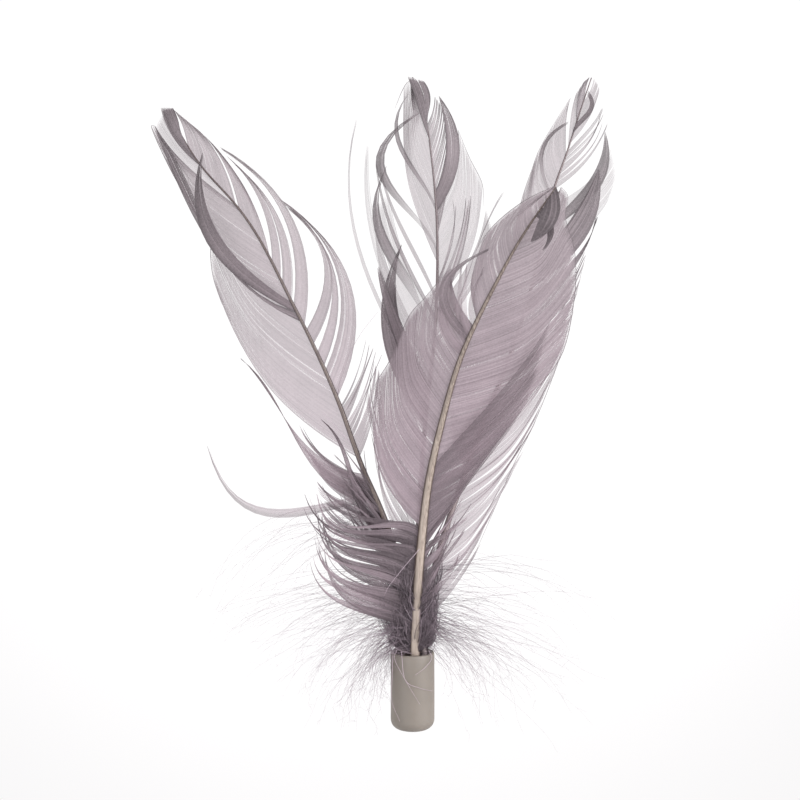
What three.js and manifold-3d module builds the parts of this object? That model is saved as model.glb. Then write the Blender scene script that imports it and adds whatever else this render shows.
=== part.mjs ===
// Four dyed goose quill feathers held together by a short soft sleeve, lying on a flat surface.
// Millimetres. While the bunch is modelled, X is across it, Y runs from the closed end of the sleeve
// to the feather tips and Z is height above the surface. At the end it is moved so that the origin
// is under the middle of its box.
import * as THREE from "three";
import { mergeVertices } from "three/addons/utils/BufferGeometryUtils.js";
import Module from "manifold-3d";

const wasm = await Module();
wasm.setup();

// ---- Sleeve -----------------------------------------------------------------------------------
const SLEEVE = {
  radius: 5,
  wall: 0.8,
  length: 17.4,
  closedEnd: 3,
  roundOver: 0.3,
  facets: 32,
};

// ---- Feathers ---------------------------------------------------------------------------------
const QUILL_END = 4.5; // Y of the cut quill ends inside the sleeve
const SHAFT_SIDES = 8;
const SHAFT_STEPS = 17;
const LOCK = { rib: 0.27, valley: 0.17, edge: 0.1, thinning: 0.4, tipWidth: 0.5, notch: 1.2, steps: 5 };
const TOUCH = LOCK.rib * (1 - LOCK.thinning); // height of a lock's tip that touches the surface
const SLIVER = { edge: 0.02, height: 0.006, passes: 40 }; // faces smaller than this are cleared where locks cross
const TUFT = { radius: 0.42, tip: 0.14, steps: 4 };

// A guide is the path of one barb: [height on the shaft, tip x, tip y, tip z, bow near the shaft,
// bow near the tip, lift]. The height is the Y at which it leaves the shaft. A bow pushes the path
// outwards, towards the sleeve, and a lift raises its middle. A lock of barbs lies between the first
// and the last of its guides: rib, valley and edge are half its thickness. A tuft is a strand of down
// along one guide.
const FEATHERS = {
  quill_feather_front: {
    colour: 0xa89aa0,
    shaft: {
      line: [
        [0.5, QUILL_END, 7], [0.5, 17, 7], [1, 30.5, 8], [2, 43.5, 9.5], [3.5, 56.5, 12],
        [6, 68.5, 15], [10.5, 84.5, 20], [17, 98.5, 25], [22.5, 108.5, 28], [29, 118, 31],
      ],
      radii: [1.35, 1.1, 0.32],
    },
    left: {
      heel_5: [[23.5, -20.5, 39.5, 9, 1, 9, 0.4], [28, -21, 43, 9, 0.5, 7.5, 0.4]],
      heel_4: [[28.5, -20.5, 44, 9.6, 1.5, 7.5, 0.3], [32.5, -21.5, 47.5, 9.6, 0.5, 6, 0.3]],
      heel_3: [[33, -21.5, 47, 9.2, 2, 6.5, 0.3], [37.5, -22, 49.5, 9.2, 0.5, 4.5, 0.3]],
      heel_2: [[38.5, -21.5, 50, 10.2, 2, 6.5, 0.3], [42, -21, 50.5, 10.2, 1, 3.5, 0.3]],
      heel_1: [[42.5, -20, 49.5, 10.6, 0.5, 2, 0.2], [45.5, -17.5, 49.5, 10.6, 0, 1.5, 0.2]],
      low: [
        [46, -9, 74.5, 11, 5, 6, 0], [54.5, -8, 78.5, 12.5, 3, 4, 0], [62.5, -5.5, 82.5, 14, 2, 3, 0],
        [69, -3.5, 86.5, 15.5, 1.5, 2.5, 0], [73.5, -1.5, 92, 17, 1.5, 2.5, 0],
      ],
      mid: [
        [74, -1, 92.5, 18, 1.5, 2.5, 0], [80, 2.5, 96.5, 19.5, 1.5, 2.5, 0],
        [85, 5.5, 100, 21, 1.5, 2, 0], [90, 8, 102.5, 22, 1.5, 2, 0],
      ],
      high: [
        [91.5, 12.5, 105, 23, 1, 1.5, 0], [96.5, 15, 109, 25, 1, 1.5, 0], [103.5, 19, 113, 27, 1, 1, 0],
        [109.5, 23.5, 116, 29, 1, 1, 0], [114.5, 27, 117.5, 30.5, 0.5, 1, 0],
      ],
      hook: [[87.5, 15.5, 106.5, 24.5, 2, -7, 1.5], [89.5, 17, 106.5, 24.5, 1.5, -6.5, 1.5]],
    },
    right: {
      low: [
        [41.5, 9, 50, 8.5, -0.5, 0.5, 0], [48, 13, 57.5, 9.5, 0.5, 1.5, 0], [53.5, 17.5, 63.5, 11, 1, 2, 0],
        [64.5, 26.5, 76, 13.5, 1.5, 2, 0], [75, 32.5, 84.5, 16, 1.5, 2, 0],
      ],
      high: [
        [75.5, 32.5, 85.5, 17, 1.5, 2, 0], [85, 34.5, 97, 20, 1.5, 2.5, 0], [95.5, 34, 106, 23, 1.5, 2, 0],
        [105.5, 31, 112.5, 27, 1, 1.5, 0], [112.5, 31.5, 116.5, 30, 1, 1.5, 0],
      ],
      curl: [[114, 24, 106.5, 32.5, 5.5, 7, 2], [117, 26, 105, 33, 5.5, 6, 2]],
      heel_1: [[32.5, 9.5, 47, 9, 0.5, 0.5, 0], [39, 10.5, 52, 9.4, 0, 0.5, 0]],
      heel_2: [[25.5, 7.5, 41.5, 8.6, 1, 1, 0], [31.5, 9, 48, 9.4, 0.5, 0.5, 0]],
    },
    tufts: {
      left: [[22, -24, 18, 9.5, -5, -4, 1.5], [21, -17, 9, 10, -6, -4, 2], [21.5, -3, 3.5, 11.5, 0, 0, 6]],
      right: [[23, 26, 20, 9.5, -4, -4, 1.5], [22, 18, 11, 10, -5, -4, 2], [21, 3, 5, 11.5, 0, 0, 6]],
    },
  },
  quill_feather_left: {
    colour: 0xb9aeb2,
    shaft: {
      line: [
        [-2, QUILL_END, 5], [-2, 16.5, 5], [-2, 29, 5], [-4, 40.5, 5], [-7.5, 50.5, 6], [-11, 58.5, 6.5],
        [-17, 75, 8], [-26.5, 95.5, 10], [-39, 117.5, 10.5], [-47, 126.5, 10], [-55, 139.5, 9],
      ],
      radii: [1.1, 0.9, 0.3],
    },
    left: {
      wisp: [[49, -46, 62, 5, 13.5, 17, 0], [51.5, -46, 62, 5, 12, 15, 0]],
      heel: [[45, -20.5, 53.5, 3.5, 2, 2.5, 0], [50, -23, 58.5, 3, 1, 2.5, 0]],
      fork: [[52, -39.5, 84, 2.2, 3, 3.5, 0], [59, -39, 84, 2.2, 2, 2.5, 0]],
      low: [
        [61.5, -44, 96.5, TOUCH, 5.5, 7, -1], [70, -46, 102.5, TOUCH, 4, 6, -1],
        [79, -46.5, 108, 1.5, 3.5, 5, -1], [87, -46, 113, 3.5, 3, 4.5, -0.5], [93, -46.5, 117, 5, 2.5, 4, 0],
      ],
      fold: [[94, -46, 128, 13, 7.5, 9.5, 2], [97.5, -45.5, 128, 13, 5, 8, 2]],
      high: [
        [98.5, -50, 118, 7.5, 2.5, 3.5, 0], [105, -54.5, 126.5, 8, 2, 3.5, 0],
        [112, -58.5, 135.5, 8.5, 2, 4, 0], [115.5, -58, 135.5, 8.5, 1.5, 3, 0],
      ],
      sheer: [[118, -56, 137, 8.2, 1.5, 2, 0], [124.5, -56, 138.5, 8.5, 1, 2, 0]],
      tip: [[125.5, -56.5, 140, 9.4, 1.5, 2, 0.5], [131, -55.5, 140, 9.4, 1, 1, 0.5]],
    },
    right: {
      strand_1: [[75, -30, 119.5, 8, 13.5, 13.5, 0.5], [81, -29.5, 119.5, 8, 10.5, 11, 0.5]],
      strand_2: [[82, -29, 118.5, 9, 9.5, 10.5, 0.8], [85, -28.5, 118.5, 9, 8.5, 9.5, 0.8]],
      strand_3: [[87, -28, 117.5, 9.6, 9, 10, 1], [90, -27.5, 117, 9.6, 7.5, 8.5, 1]],
      outer: [[91, -43, 131, 9, 10.5, 10.5, 0], [95.5, -42.5, 130.5, 9, 8, 8.5, 0]],
      inner: [[96.5, -39.5, 127, 9.6, 6, 6, 0], [100.5, -40, 127.5, 9.6, 4.5, 5, 0]],
      slit: [[101.5, -40.5, 128, 10, 4.5, 5, 0], [105, -41.5, 129, 10, 3.5, 4, 0]],
      upper: [[106, -44, 130.5, 10, 2.5, 3, 0], [112, -45, 132, 10, 2, 2.5, 0], [117, -46.5, 133.5, 10, 1.5, 2, 0]],
      top: [[118, -47.5, 134.5, 9.8, 1.5, 2, 0], [124, -50.5, 137, 9.5, 1.5, 1.5, 0], [131, -53.5, 139.5, 9.2, 0.5, 1, 0]],
    },
    tufts: {
      left: [
        [21.5, -9.5, 4.5, 5, -5, -3, 0.5], [22.5, -15.5, 5, 3, -6, -4, 1], [24.5, -23, 12, 3.5, -5, -5, 1],
        [28, -29, 19, 4, -5, -5, 1], [31, -36, 25, 4.5, -4, -5, 1], [46, -38, 31, 5, -6, -8, 0.5],
      ],
      right: [],
    },
  },
  quill_feather_middle: {
    colour: 0xb8b0b6,
    shaft: {
      line: [
        [0, QUILL_END, 3], [0, 16, 3], [0.5, 29, 3], [1.5, 47, 3], [3, 70, 3], [5, 88.5, 3], [6, 102.5, 3],
        [6, 118.5, 4], [4.5, 130, 4.5], [1, 144.5, 6], [0, 147.5, 6.5],
      ],
      radii: [0.95, 0.75, 0.28],
    },
    left: {
      base_1: [[46, -11.5, 74.5, 2.2, 3, 3.5, 0], [54, -8, 81, 2.2, 2.5, 3, 0]],
      base_2: [[62, -4, 101, 1.8, 3.5, 5, 0], [65.5, -3.5, 101, 1.8, 3, 4, 0]],
      base_3: [[69, -2.5, 110, 2.8, 8, 10, 0], [73.5, -2.5, 110, 2.8, 5.5, 8, 0]],
      wisp_1: [[75.5, -13, 138.5, 3.4, 6, 12.5, 0], [77.5, -12.5, 138.5, 3.4, 5.5, 12, 0]],
      wisp_2: [[81, -10.5, 133, 1.8, 5, 8, 0], [83.5, -10, 133, 1.8, 4, 6.5, 0]],
      blade_1: [[85.5, -7.5, 130, 3.4, 6.5, 8.5, 0], [90, -6.5, 130, 3.4, 3.5, 6.5, 0]],
      blade_2: [[92.5, -8.5, 129, 4.6, 2, 4, 0], [95.5, -7.5, 129, 4.6, 1, 2.5, 0]],
      hoop: [[97.5, -3, 144.5, 4.4, 8, 15, 0.6], [100.5, -2.5, 145, 4.4, 6.5, 13.5, 0.6]],
      inner: [[106, -4, 141, 4.2, 2, 2.5, 0], [117, -2.5, 144.5, 5, 1.5, 2, 0], [128, -1, 146.5, 6, 0.5, 1, 0]],
      tip: [[136, -1, 148, 6.8, 1, 1, 0.4], [142.5, 0.5, 148, 6.8, 0, 0, 0.4]],
    },
    right: {
      stray: [[86, 20.5, 122, 2.9, 3, -2, 0], [87.5, 21, 122, 2.9, 2.5, -2, 0]],
      low: [[89, 18.5, 113.5, 1.4, 2.5, 3, 0], [95, 17, 118.5, 1.5, 2, 3, 0]],
      outer: [
        [97.5, 16.5, 119, 1.6, 2.5, 3, 0], [104.5, 16, 124.5, 1.8, 2, 3, 0],
        [111.5, 13, 130.5, 2.2, 1.5, 2.5, 0], [117.5, 10.5, 136.5, 2.6, 1.5, 2, 0],
      ],
      fold: [[117.5, 6, 143.5, 5.4, 6, 7.5, 1.2], [122, 6, 143, 5.4, 3.5, 6, 1.2]],
      inner: [[123.5, 8.5, 134, 3.4, 0.5, 1, 0], [130.5, 7.5, 139.5, 4.4, 0.5, 1, 0], [137, 5, 143.5, 5.4, 0.5, 0.5, 0]],
    },
    tufts: {
      left: [[21, -13, 9, 0.7, -3, -2, 0], [24, -20, 16, 0.7, -4, -3, 0]],
      right: [[21, 13, 9, 0.7, -3, -2, 0], [24, 21, 17, 0.7, -4, -3, 0]],
    },
  },
  quill_feather_right: {
    colour: 0xb2a7ad,
    shaft: {
      line: [
        [2.5, QUILL_END, 5], [2.5, 16.5, 5], [3.5, 29, 4.5], [6.5, 41.5, 4], [11.5, 56.5, 4], [17.5, 72.5, 4],
        [23.5, 88, 4], [28.5, 105.5, 4], [32.5, 123.5, 4.5], [38, 140, 5.5], [40.5, 147.5, 6],
      ],
      radii: [1.0, 0.8, 0.28],
    },
    left: {
      low: [[58.5, 7.5, 74.5, 3.2, 1, 1.5, 0], [74.5, 15, 90.5, 3.4, 0.5, 1, 0], [90.5, 21.5, 106, 3.6, 0.5, 1, 0]],
      mid: [
        [91.5, 22, 107, 3.8, 1, 1.5, 0], [106, 25, 120.5, 4, 1, 1.5, 0], [116.5, 25.5, 125.5, 4.2, 1, 1.5, 0],
        [123.5, 28, 131, 4.6, 1, 1.5, 0], [128, 31, 135.5, 5, 0.5, 1, 0],
      ],
      high: [[129.5, 31.5, 136.5, 5.2, 1, 1, 0], [136, 36, 142.5, 5.8, 0.5, 1, 0]],
      tip: [[137, 37.5, 144.5, 6, 0.5, 1, 0], [142.5, 39.5, 147.5, 6.3, 0.5, 0.5, 0]],
    },
    right: {
      heel: [[27.5, 11.5, 36.5, 3, 0.5, 0.5, 0], [34.5, 13, 39.5, 2.8, 0.5, 0.5, 0], [41, 16.5, 45.5, 2.4, 0.5, 1, 0]],
      low: [
        [42.5, 18, 49, 2.2, 0.5, 1, 0], [51.5, 23, 59, 1.8, 0.5, 1.5, 0], [63, 28, 68, 1.4, 1, 2, 0],
        [74.5, 33.5, 82.5, 1.2, 1, 2, 0], [86, 36.5, 94.5, 1.2, 1, 2, 0],
      ],
      blade: [[93.5, 42, 116.5, 3, 3, 4.5, 0.6], [98.5, 42.5, 116.5, 3, 2.5, 3.5, 0.6]],
      fold: [[100, 42, 127, 4.8, 5.5, 7.5, 1], [106, 42.5, 127, 4.8, 2, 5, 1]],
      sheer: [[108.5, 45.5, 121, TOUCH, 2, 3, -0.8], [113.5, 47, 126.5, TOUCH, 2, 3, -0.8], [118.5, 46, 132.5, TOUCH, 2, 3, -0.8]],
      strand: [[121, 43.5, 138.5, 5, 2.5, 4, 0.4], [124, 43.5, 139, 5, 2.5, 3, 0.4]],
      high: [[127, 42.5, 141.5, 5.4, 2, 2.5, 0], [133.5, 42, 144.5, 6, 1, 1.5, 0], [140.5, 41, 147, 6.3, 0.5, 1, 0]],
    },
    tufts: {
      left: [],
      right: [
        [21.5, 14.5, 5, 4, -6, -3, 0.5], [22.5, 21.5, 7.5, 3, -5, -4, 1], [24, 28.5, 6.5, 3.5, -5, -6, 1],
        [25, 36, 14, 4.5, -2, -3, 0.5], [28, 31, 22, 4, -4, -4, 0.5], [33, 39, 26.5, 5, -7, -6, 0.5],
      ],
    },
  },
};

// ---- Shapes -----------------------------------------------------------------------------------
const point = ([x, y, z]) => new THREE.Vector3(x, y, z);

// A closed surface through rings of the same even number of points, with strips across both ends.
function loft(rings) {
  const count = rings[0].length;
  const half = count / 2;
  const index = [];
  for (let r = 0; r + 1 < rings.length; r++) {
    for (let k = 0; k < count; k++) {
      const a = r * count + k;
      const b = r * count + ((k + 1) % count);
      index.push(a, b, b + count, a, b + count, a + count);
    }
  }
  const last = (rings.length - 1) * count;
  for (let k = 0; k < half; k++) {
    const [a, b] = [k, k + 1];
    const [c, d] = [(count - k - 1) % count, (count - k) % count];
    for (const [p, q, s] of [[a, c, b], [a, d, c]]) {
      if (p === q || q === s || p === s) continue;
      index.push(p, q, s);
      index.push(last + p, last + s, last + q);
    }
  }
  const geometry = new THREE.BufferGeometry().setFromPoints(rings.flat());
  geometry.setIndex(index);
  return geometry;
}

function signedVolume(position, index) {
  const [a, b, c] = [new THREE.Vector3(), new THREE.Vector3(), new THREE.Vector3()];
  let volume = 0;
  for (let i = 0; i < index.length; i += 3) {
    a.fromBufferAttribute(position, index[i]);
    b.fromBufferAttribute(position, index[i + 1]);
    c.fromBufferAttribute(position, index[i + 2]);
    volume += a.dot(b.cross(c)) / 6;
  }
  return volume;
}

// The solid inside a closed geometry, with its faces turned outwards.
function solidOf(geometry) {
  geometry.deleteAttribute("normal");
  geometry.deleteAttribute("uv");
  const merged = mergeVertices(geometry, 1e-4);
  const triVerts = new Uint32Array(merged.index.array);
  if (signedVolume(merged.attributes.position, triVerts) < 0) triVerts.reverse();
  return new wasm.Manifold(
    new wasm.Mesh({ numProp: 3, vertProperties: merged.attributes.position.array, triVerts }),
  );
}

function geometryOf(solid) {
  const { vertProperties, triVerts } = solid.getMesh();
  const points = Array.from({ length: vertProperties.length / 3 }, (_, i) =>
    new THREE.Vector3().fromArray(vertProperties, 3 * i));
  const faces = Array.from({ length: triVerts.length / 3 }, (_, i) => [...triVerts.slice(3 * i, 3 * i + 3)]);
  const geometry = new THREE.BufferGeometry().setFromPoints(points);
  geometry.setIndex(withoutSlivers(points, faces).flat());
  geometry.attributes.position.set(points.flatMap((corner) => corner.toArray()));
  return geometry;
}

// Crossing plates leave faces too small or too thin to survive rounding. A very short edge is drawn
// into one point, and the long edge of a needle is turned to the far corner of the face beside it.
function withoutSlivers(points, faces) {
  for (let pass = 0; pass < SLIVER.passes; pass++) {
    const faceAt = new Map();
    const around = points.map(() => new Set());
    faces.forEach(([a, b, c], f) => {
      for (const [p, q] of [[a, b], [b, c], [c, a]]) {
        faceAt.set(`${p} ${q}`, f);
        around[p].add(q);
        around[q].add(p);
      }
    });
    const busy = new Set();
    const claim = (corners) => {
      const near = new Set(corners.flatMap((corner) => [corner, ...around[corner]]));
      if ([...near].some((corner) => busy.has(corner))) return false;
      near.forEach((corner) => busy.add(corner));
      return true;
    };
    for (const face of faces) {
      if (face.some((corner) => busy.has(corner))) continue;
      const sides = face.map((p, k) => ({ p, q: face[(k + 1) % 3], r: face[(k + 2) % 3] }));
      sides.forEach((side) => (side.length = points[side.p].distanceTo(points[side.q])));
      sides.sort((one, two) => one.length - two.length);
      const [short, , long] = sides;
      const height = new THREE.Triangle(...face.map((corner) => points[corner])).getArea() * 2 / long.length;
      const other = faces[faceAt.get(`${long.q} ${long.p}`)];
      const far = other.find((corner) => corner !== long.p && corner !== long.q);
      const free = [...around[short.p]].filter((corner) => around[short.q].has(corner)).length === 2;
      const canTurn = !around[far].has(long.r);
      const thin = height < SLIVER.height;
      if (free && (short.length < SLIVER.edge || (thin && !canTurn)) && claim([short.p, short.q])) {
        const [kept, gone] = short.p === long.r ? [short.q, short.p] : [short.p, short.q];
        faces.forEach((near) => near.forEach((corner, k) => (near[k] = corner === gone ? kept : corner)));
      } else if (thin && canTurn && claim([long.p, long.q, long.r, far])) {
        face.splice(0, 3, long.p, far, long.r);
        other.splice(0, 3, far, long.q, long.r);
      }
    }
    if (!busy.size) break;
    faces = faces.filter(([a, b, c]) => a !== b && b !== c && c !== a);
  }
  return faces;
}

// Where a shaft passes a given Y: its line always climbs in Y.
function shaftPointAt(curve, y) {
  let [low, high] = [0, 1];
  for (let i = 0; i < 30; i++) {
    const middle = (low + high) / 2;
    if (curve.getPoint(middle).y < y) low = middle;
    else high = middle;
  }
  return curve.getPoint(low);
}

// Radius runs from the quill end, through a third of the way up, to the tip.
function shaftRadius([foot, third, tip], share) {
  return share < 1 / 3
    ? THREE.MathUtils.lerp(foot, third, share * 3)
    : THREE.MathUtils.lerp(third, tip, (share - 1 / 3) * 1.5);
}

// A ring of points around a path, square to its direction.
function ringAround(centre, direction, radius, sides) {
  const across = new THREE.Vector3().crossVectors(direction, new THREE.Vector3(0, 0, 1)).normalize();
  const up = new THREE.Vector3().crossVectors(across, direction).normalize();
  return Array.from({ length: sides }, (_, k) => {
    const angle = (2 * Math.PI * k) / sides;
    return centre.clone()
      .addScaledVector(across, radius * Math.cos(angle))
      .addScaledVector(up, radius * Math.sin(angle));
  });
}

function shaft(curve, radii) {
  const rings = [];
  for (let i = 0; i <= SHAFT_STEPS; i++) {
    const share = i / SHAFT_STEPS;
    const radius = shaftRadius(radii, share);
    rings.push(ringAround(curve.getPoint(share), curve.getTangent(share), radius, SHAFT_SIDES));
  }
  return loft(rings);
}

// The path of one barb or strand of down. side is -1 on the left of the shaft and 1 on its right.
function barbPath(curve, side, [height, x, y, z, bowNear, bowFar, lift]) {
  const foot = shaftPointAt(curve, height);
  const tip = new THREE.Vector3(x, y, z);
  const chord = tip.clone().sub(foot);
  const outward = new THREE.Vector3(chord.y, -chord.x, 0).normalize().multiplyScalar(side);
  const control = (share, bow) =>
    foot.clone().addScaledVector(chord, share).addScaledVector(outward, bow).add(new THREE.Vector3(0, 0, lift));
  return new THREE.CubicBezierCurve3(foot, control(1 / 3, bowNear), control(2 / 3, bowFar), tip);
}

// A lock of barbs: a thin plate that spans its guides, ribbed along them and notched between them.
function lock(paths, side) {
  const columns = 2 * paths.length - 1;
  const pointed = paths.length === 2;
  const rings = [];
  for (let i = 0; i <= LOCK.steps; i++) {
    const share = i / LOCK.steps;
    const [top, bottom] = [[], []];
    for (let c = 0; c < columns; c++) {
      const [lower, upper] = [paths[Math.floor(c / 2)], paths[Math.ceil(c / 2)]];
      const centre = lower.getPoint(share).lerp(upper.getPoint(share), 0.5);
      const along = lower.getTangent(share).setZ(0).normalize();
      const outward = new THREE.Vector3(along.y, -along.x, 0).multiplyScalar(side);
      centre.addScaledVector(outward, LOCK.tipWidth * share * (0.5 - c / (columns - 1)));
      const onGuide = c % 2 === 0;
      if (!onGuide && !pointed && i === LOCK.steps) centre.addScaledVector(along, -LOCK.notch);
      const body = (onGuide || pointed ? LOCK.rib : LOCK.valley) * (1 - LOCK.thinning * share);
      const half = c === 0 || c === columns - 1 ? LOCK.edge : body;
      top.push(new THREE.Vector3(centre.x, centre.y, centre.z + half));
      bottom.unshift(new THREE.Vector3(centre.x, centre.y, centre.z - half));
    }
    rings.push([...top, ...bottom]);
  }
  return loft(rings);
}

function tuft(path) {
  const rings = [];
  for (let i = 0; i <= TUFT.steps; i++) {
    const share = i / TUFT.steps;
    const radius = THREE.MathUtils.lerp(TUFT.radius, TUFT.tip, share);
    rings.push(ringAround(path.getPoint(share), path.getTangent(share), radius, 4));
  }
  return loft(rings);
}

// One feather is one piece: its locks and its down grow from the shaft.
function feather({ shaft: { line, radii }, left, right, tufts }) {
  const curve = new THREE.CatmullRomCurve3(line.map(point));
  let solid = solidOf(shaft(curve, radii));
  for (const [side, locks, strands] of [[-1, left, tufts.left], [1, right, tufts.right]]) {
    for (const guides of Object.values(locks)) {
      solid = solid.add(solidOf(lock(guides.map((guide) => barbPath(curve, side, guide)), side)));
    }
    for (const guide of strands) {
      solid = solid.add(solidOf(tuft(barbPath(curve, side, guide))));
    }
  }
  return geometryOf(solid);
}

// A soft tube that is closed at one end, turned about Y, with one flat facet underneath.
function sleeve() {
  const { radius, wall, length, closedEnd, roundOver, facets } = SLEEVE;
  const bore = radius - wall;
  const profile = [
    [0, 0], [radius - roundOver, 0], [radius, roundOver], [radius, length - roundOver],
    [radius - roundOver, length], [bore + roundOver / 2, length], [bore, length - roundOver / 2],
    [bore, closedEnd], [0, closedEnd],
  ].map(([r, y]) => new THREE.Vector2(r, y));
  return new THREE.LatheGeometry(profile, facets, Math.PI / facets);
}

// ---- Assembly ---------------------------------------------------------------------------------
function mesh(name, geometry, colour, roughness) {
  const made = new THREE.Mesh(geometry, new THREE.MeshStandardMaterial({ color: colour, roughness, metalness: 0 }));
  made.name = name;
  return made;
}

const bunch = new THREE.Group();
const sleeveMesh = mesh("sleeve", geometryOf(solidOf(sleeve())), 0x9c928c, 0.55);
sleeveMesh.position.set(0, 0, SLEEVE.radius * Math.cos(Math.PI / SLEEVE.facets));
bunch.add(sleeveMesh);
for (const [name, parts] of Object.entries(FEATHERS)) {
  bunch.add(mesh(name, feather(parts), parts.colour, 0.7));
}

const box = new THREE.Box3().setFromObject(bunch);
const middle = box.getCenter(new THREE.Vector3());
bunch.position.set(-middle.x, -middle.y, -box.min.z);

export default bunch;
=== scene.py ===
"""Dresses a bunch of dyed goose quill feathers: barbs, shafts, down, the sleeve and a light table.

Metres, Z up. While a feather is worked out its numbers are millimetres from the foot of the bunch:
X across it, Y from the sleeve's closed end towards the feather tips, Z up from the surface below.
"""

import math
from typing import NamedTuple

import bpy
import numpy as np
from bpy.props import FloatProperty, FloatVectorProperty, IntProperty, PointerProperty
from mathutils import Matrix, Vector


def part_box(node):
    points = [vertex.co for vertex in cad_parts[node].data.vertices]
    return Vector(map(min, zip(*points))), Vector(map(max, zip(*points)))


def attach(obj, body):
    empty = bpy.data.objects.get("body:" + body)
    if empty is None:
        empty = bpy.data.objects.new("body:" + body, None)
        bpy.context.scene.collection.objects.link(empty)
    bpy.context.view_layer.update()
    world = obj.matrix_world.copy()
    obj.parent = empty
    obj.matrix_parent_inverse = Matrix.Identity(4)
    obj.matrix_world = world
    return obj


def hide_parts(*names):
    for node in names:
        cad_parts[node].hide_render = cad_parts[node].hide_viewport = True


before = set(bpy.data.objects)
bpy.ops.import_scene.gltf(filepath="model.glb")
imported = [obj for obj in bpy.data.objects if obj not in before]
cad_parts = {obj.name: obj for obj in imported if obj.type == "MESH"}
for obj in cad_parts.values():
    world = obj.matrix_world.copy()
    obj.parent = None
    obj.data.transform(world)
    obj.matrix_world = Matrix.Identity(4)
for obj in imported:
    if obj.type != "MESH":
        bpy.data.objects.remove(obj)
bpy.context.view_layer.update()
SLEEVE_LOW, SLEEVE_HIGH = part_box("sleeve")

bl_info = {
    "name": "Goose quill feather bunch",
    "version": (1, 0, 0),
    "blender": (4, 5, 0),
    "location": "View3D > Sidebar > Feathers",
    "description": "Builds the barbs, shafts, down and sleeve of a bunch of dyed goose feathers",
    "category": "Object",
}

MM = 0.001
BODY = "root"

# The foot of the bunch: the middle of the sleeve's closed end, straight down on the surface.
FOOT = np.array([(SLEEVE_LOW.x + SLEEVE_HIGH.x) / 2, SLEEVE_LOW.y, 0.0])

# ---- The feathers ----
# A line is a shaft's path, as x, y and z. Its radii are those at the quill's end, a third of the way
# up and at the tip.
# A guide is the path of one barb: height on the shaft, tip x, tip y, tip z, bow near the shaft, bow
# near the tip, lift. A bow pushes the path outwards, towards the sleeve, and a lift raises its middle.
# A lock of barbs lies between the first and the last of its guides. A tuft of down lies round one.
QUILL_END = 4.5  # height of the quills' ends, inside the sleeve
TOUCH = 0.16  # height of a tip that rests on the surface

LINES = {
    "front": [
        (0.5, QUILL_END, 7), (0.5, 17, 7), (1, 30.5, 8), (2, 43.5, 9.5), (3.5, 56.5, 12), (6, 68.5, 15),
        (10.5, 84.5, 20), (17, 98.5, 25), (22.5, 108.5, 28), (29, 118, 31),
    ],
    "left": [
        (-2, QUILL_END, 5), (-2, 16.5, 5), (-2, 29, 5), (-4, 40.5, 5), (-7.5, 50.5, 6), (-11, 58.5, 6.5),
        (-17, 75, 8), (-26.5, 95.5, 10), (-39, 117.5, 10.5), (-47, 126.5, 10), (-55, 139.5, 9),
    ],
    "middle": [
        (0, QUILL_END, 3), (0, 16, 3), (0.5, 29, 3), (1.5, 47, 3), (3, 70, 3), (5, 88.5, 3),
        (5.7, 102.5, 3), (5.4, 118.5, 4), (4.3, 130, 4.5), (3.2, 137.5, 5.2), (1, 144.5, 6),
        (0, 147.5, 6.5),
    ],
    "right": [
        (2.5, QUILL_END, 5), (2.5, 16.5, 5), (3.5, 29, 4.5), (6.5, 41.5, 4), (11.5, 56.5, 4),
        (17.5, 72.5, 4), (23.5, 88, 4), (28.5, 105.5, 4), (32.5, 123.5, 4.5), (35, 130.5, 4.9),
        (38, 140, 5.5), (40.5, 147.5, 6),
    ],
}
RADII = {
    "front": (1.35, 1.05, 0.13), "left": (1.1, 0.66, 0.12),
    "middle": (0.95, 0.6, 0.12), "right": (1.0, 0.65, 0.12),
}
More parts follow.
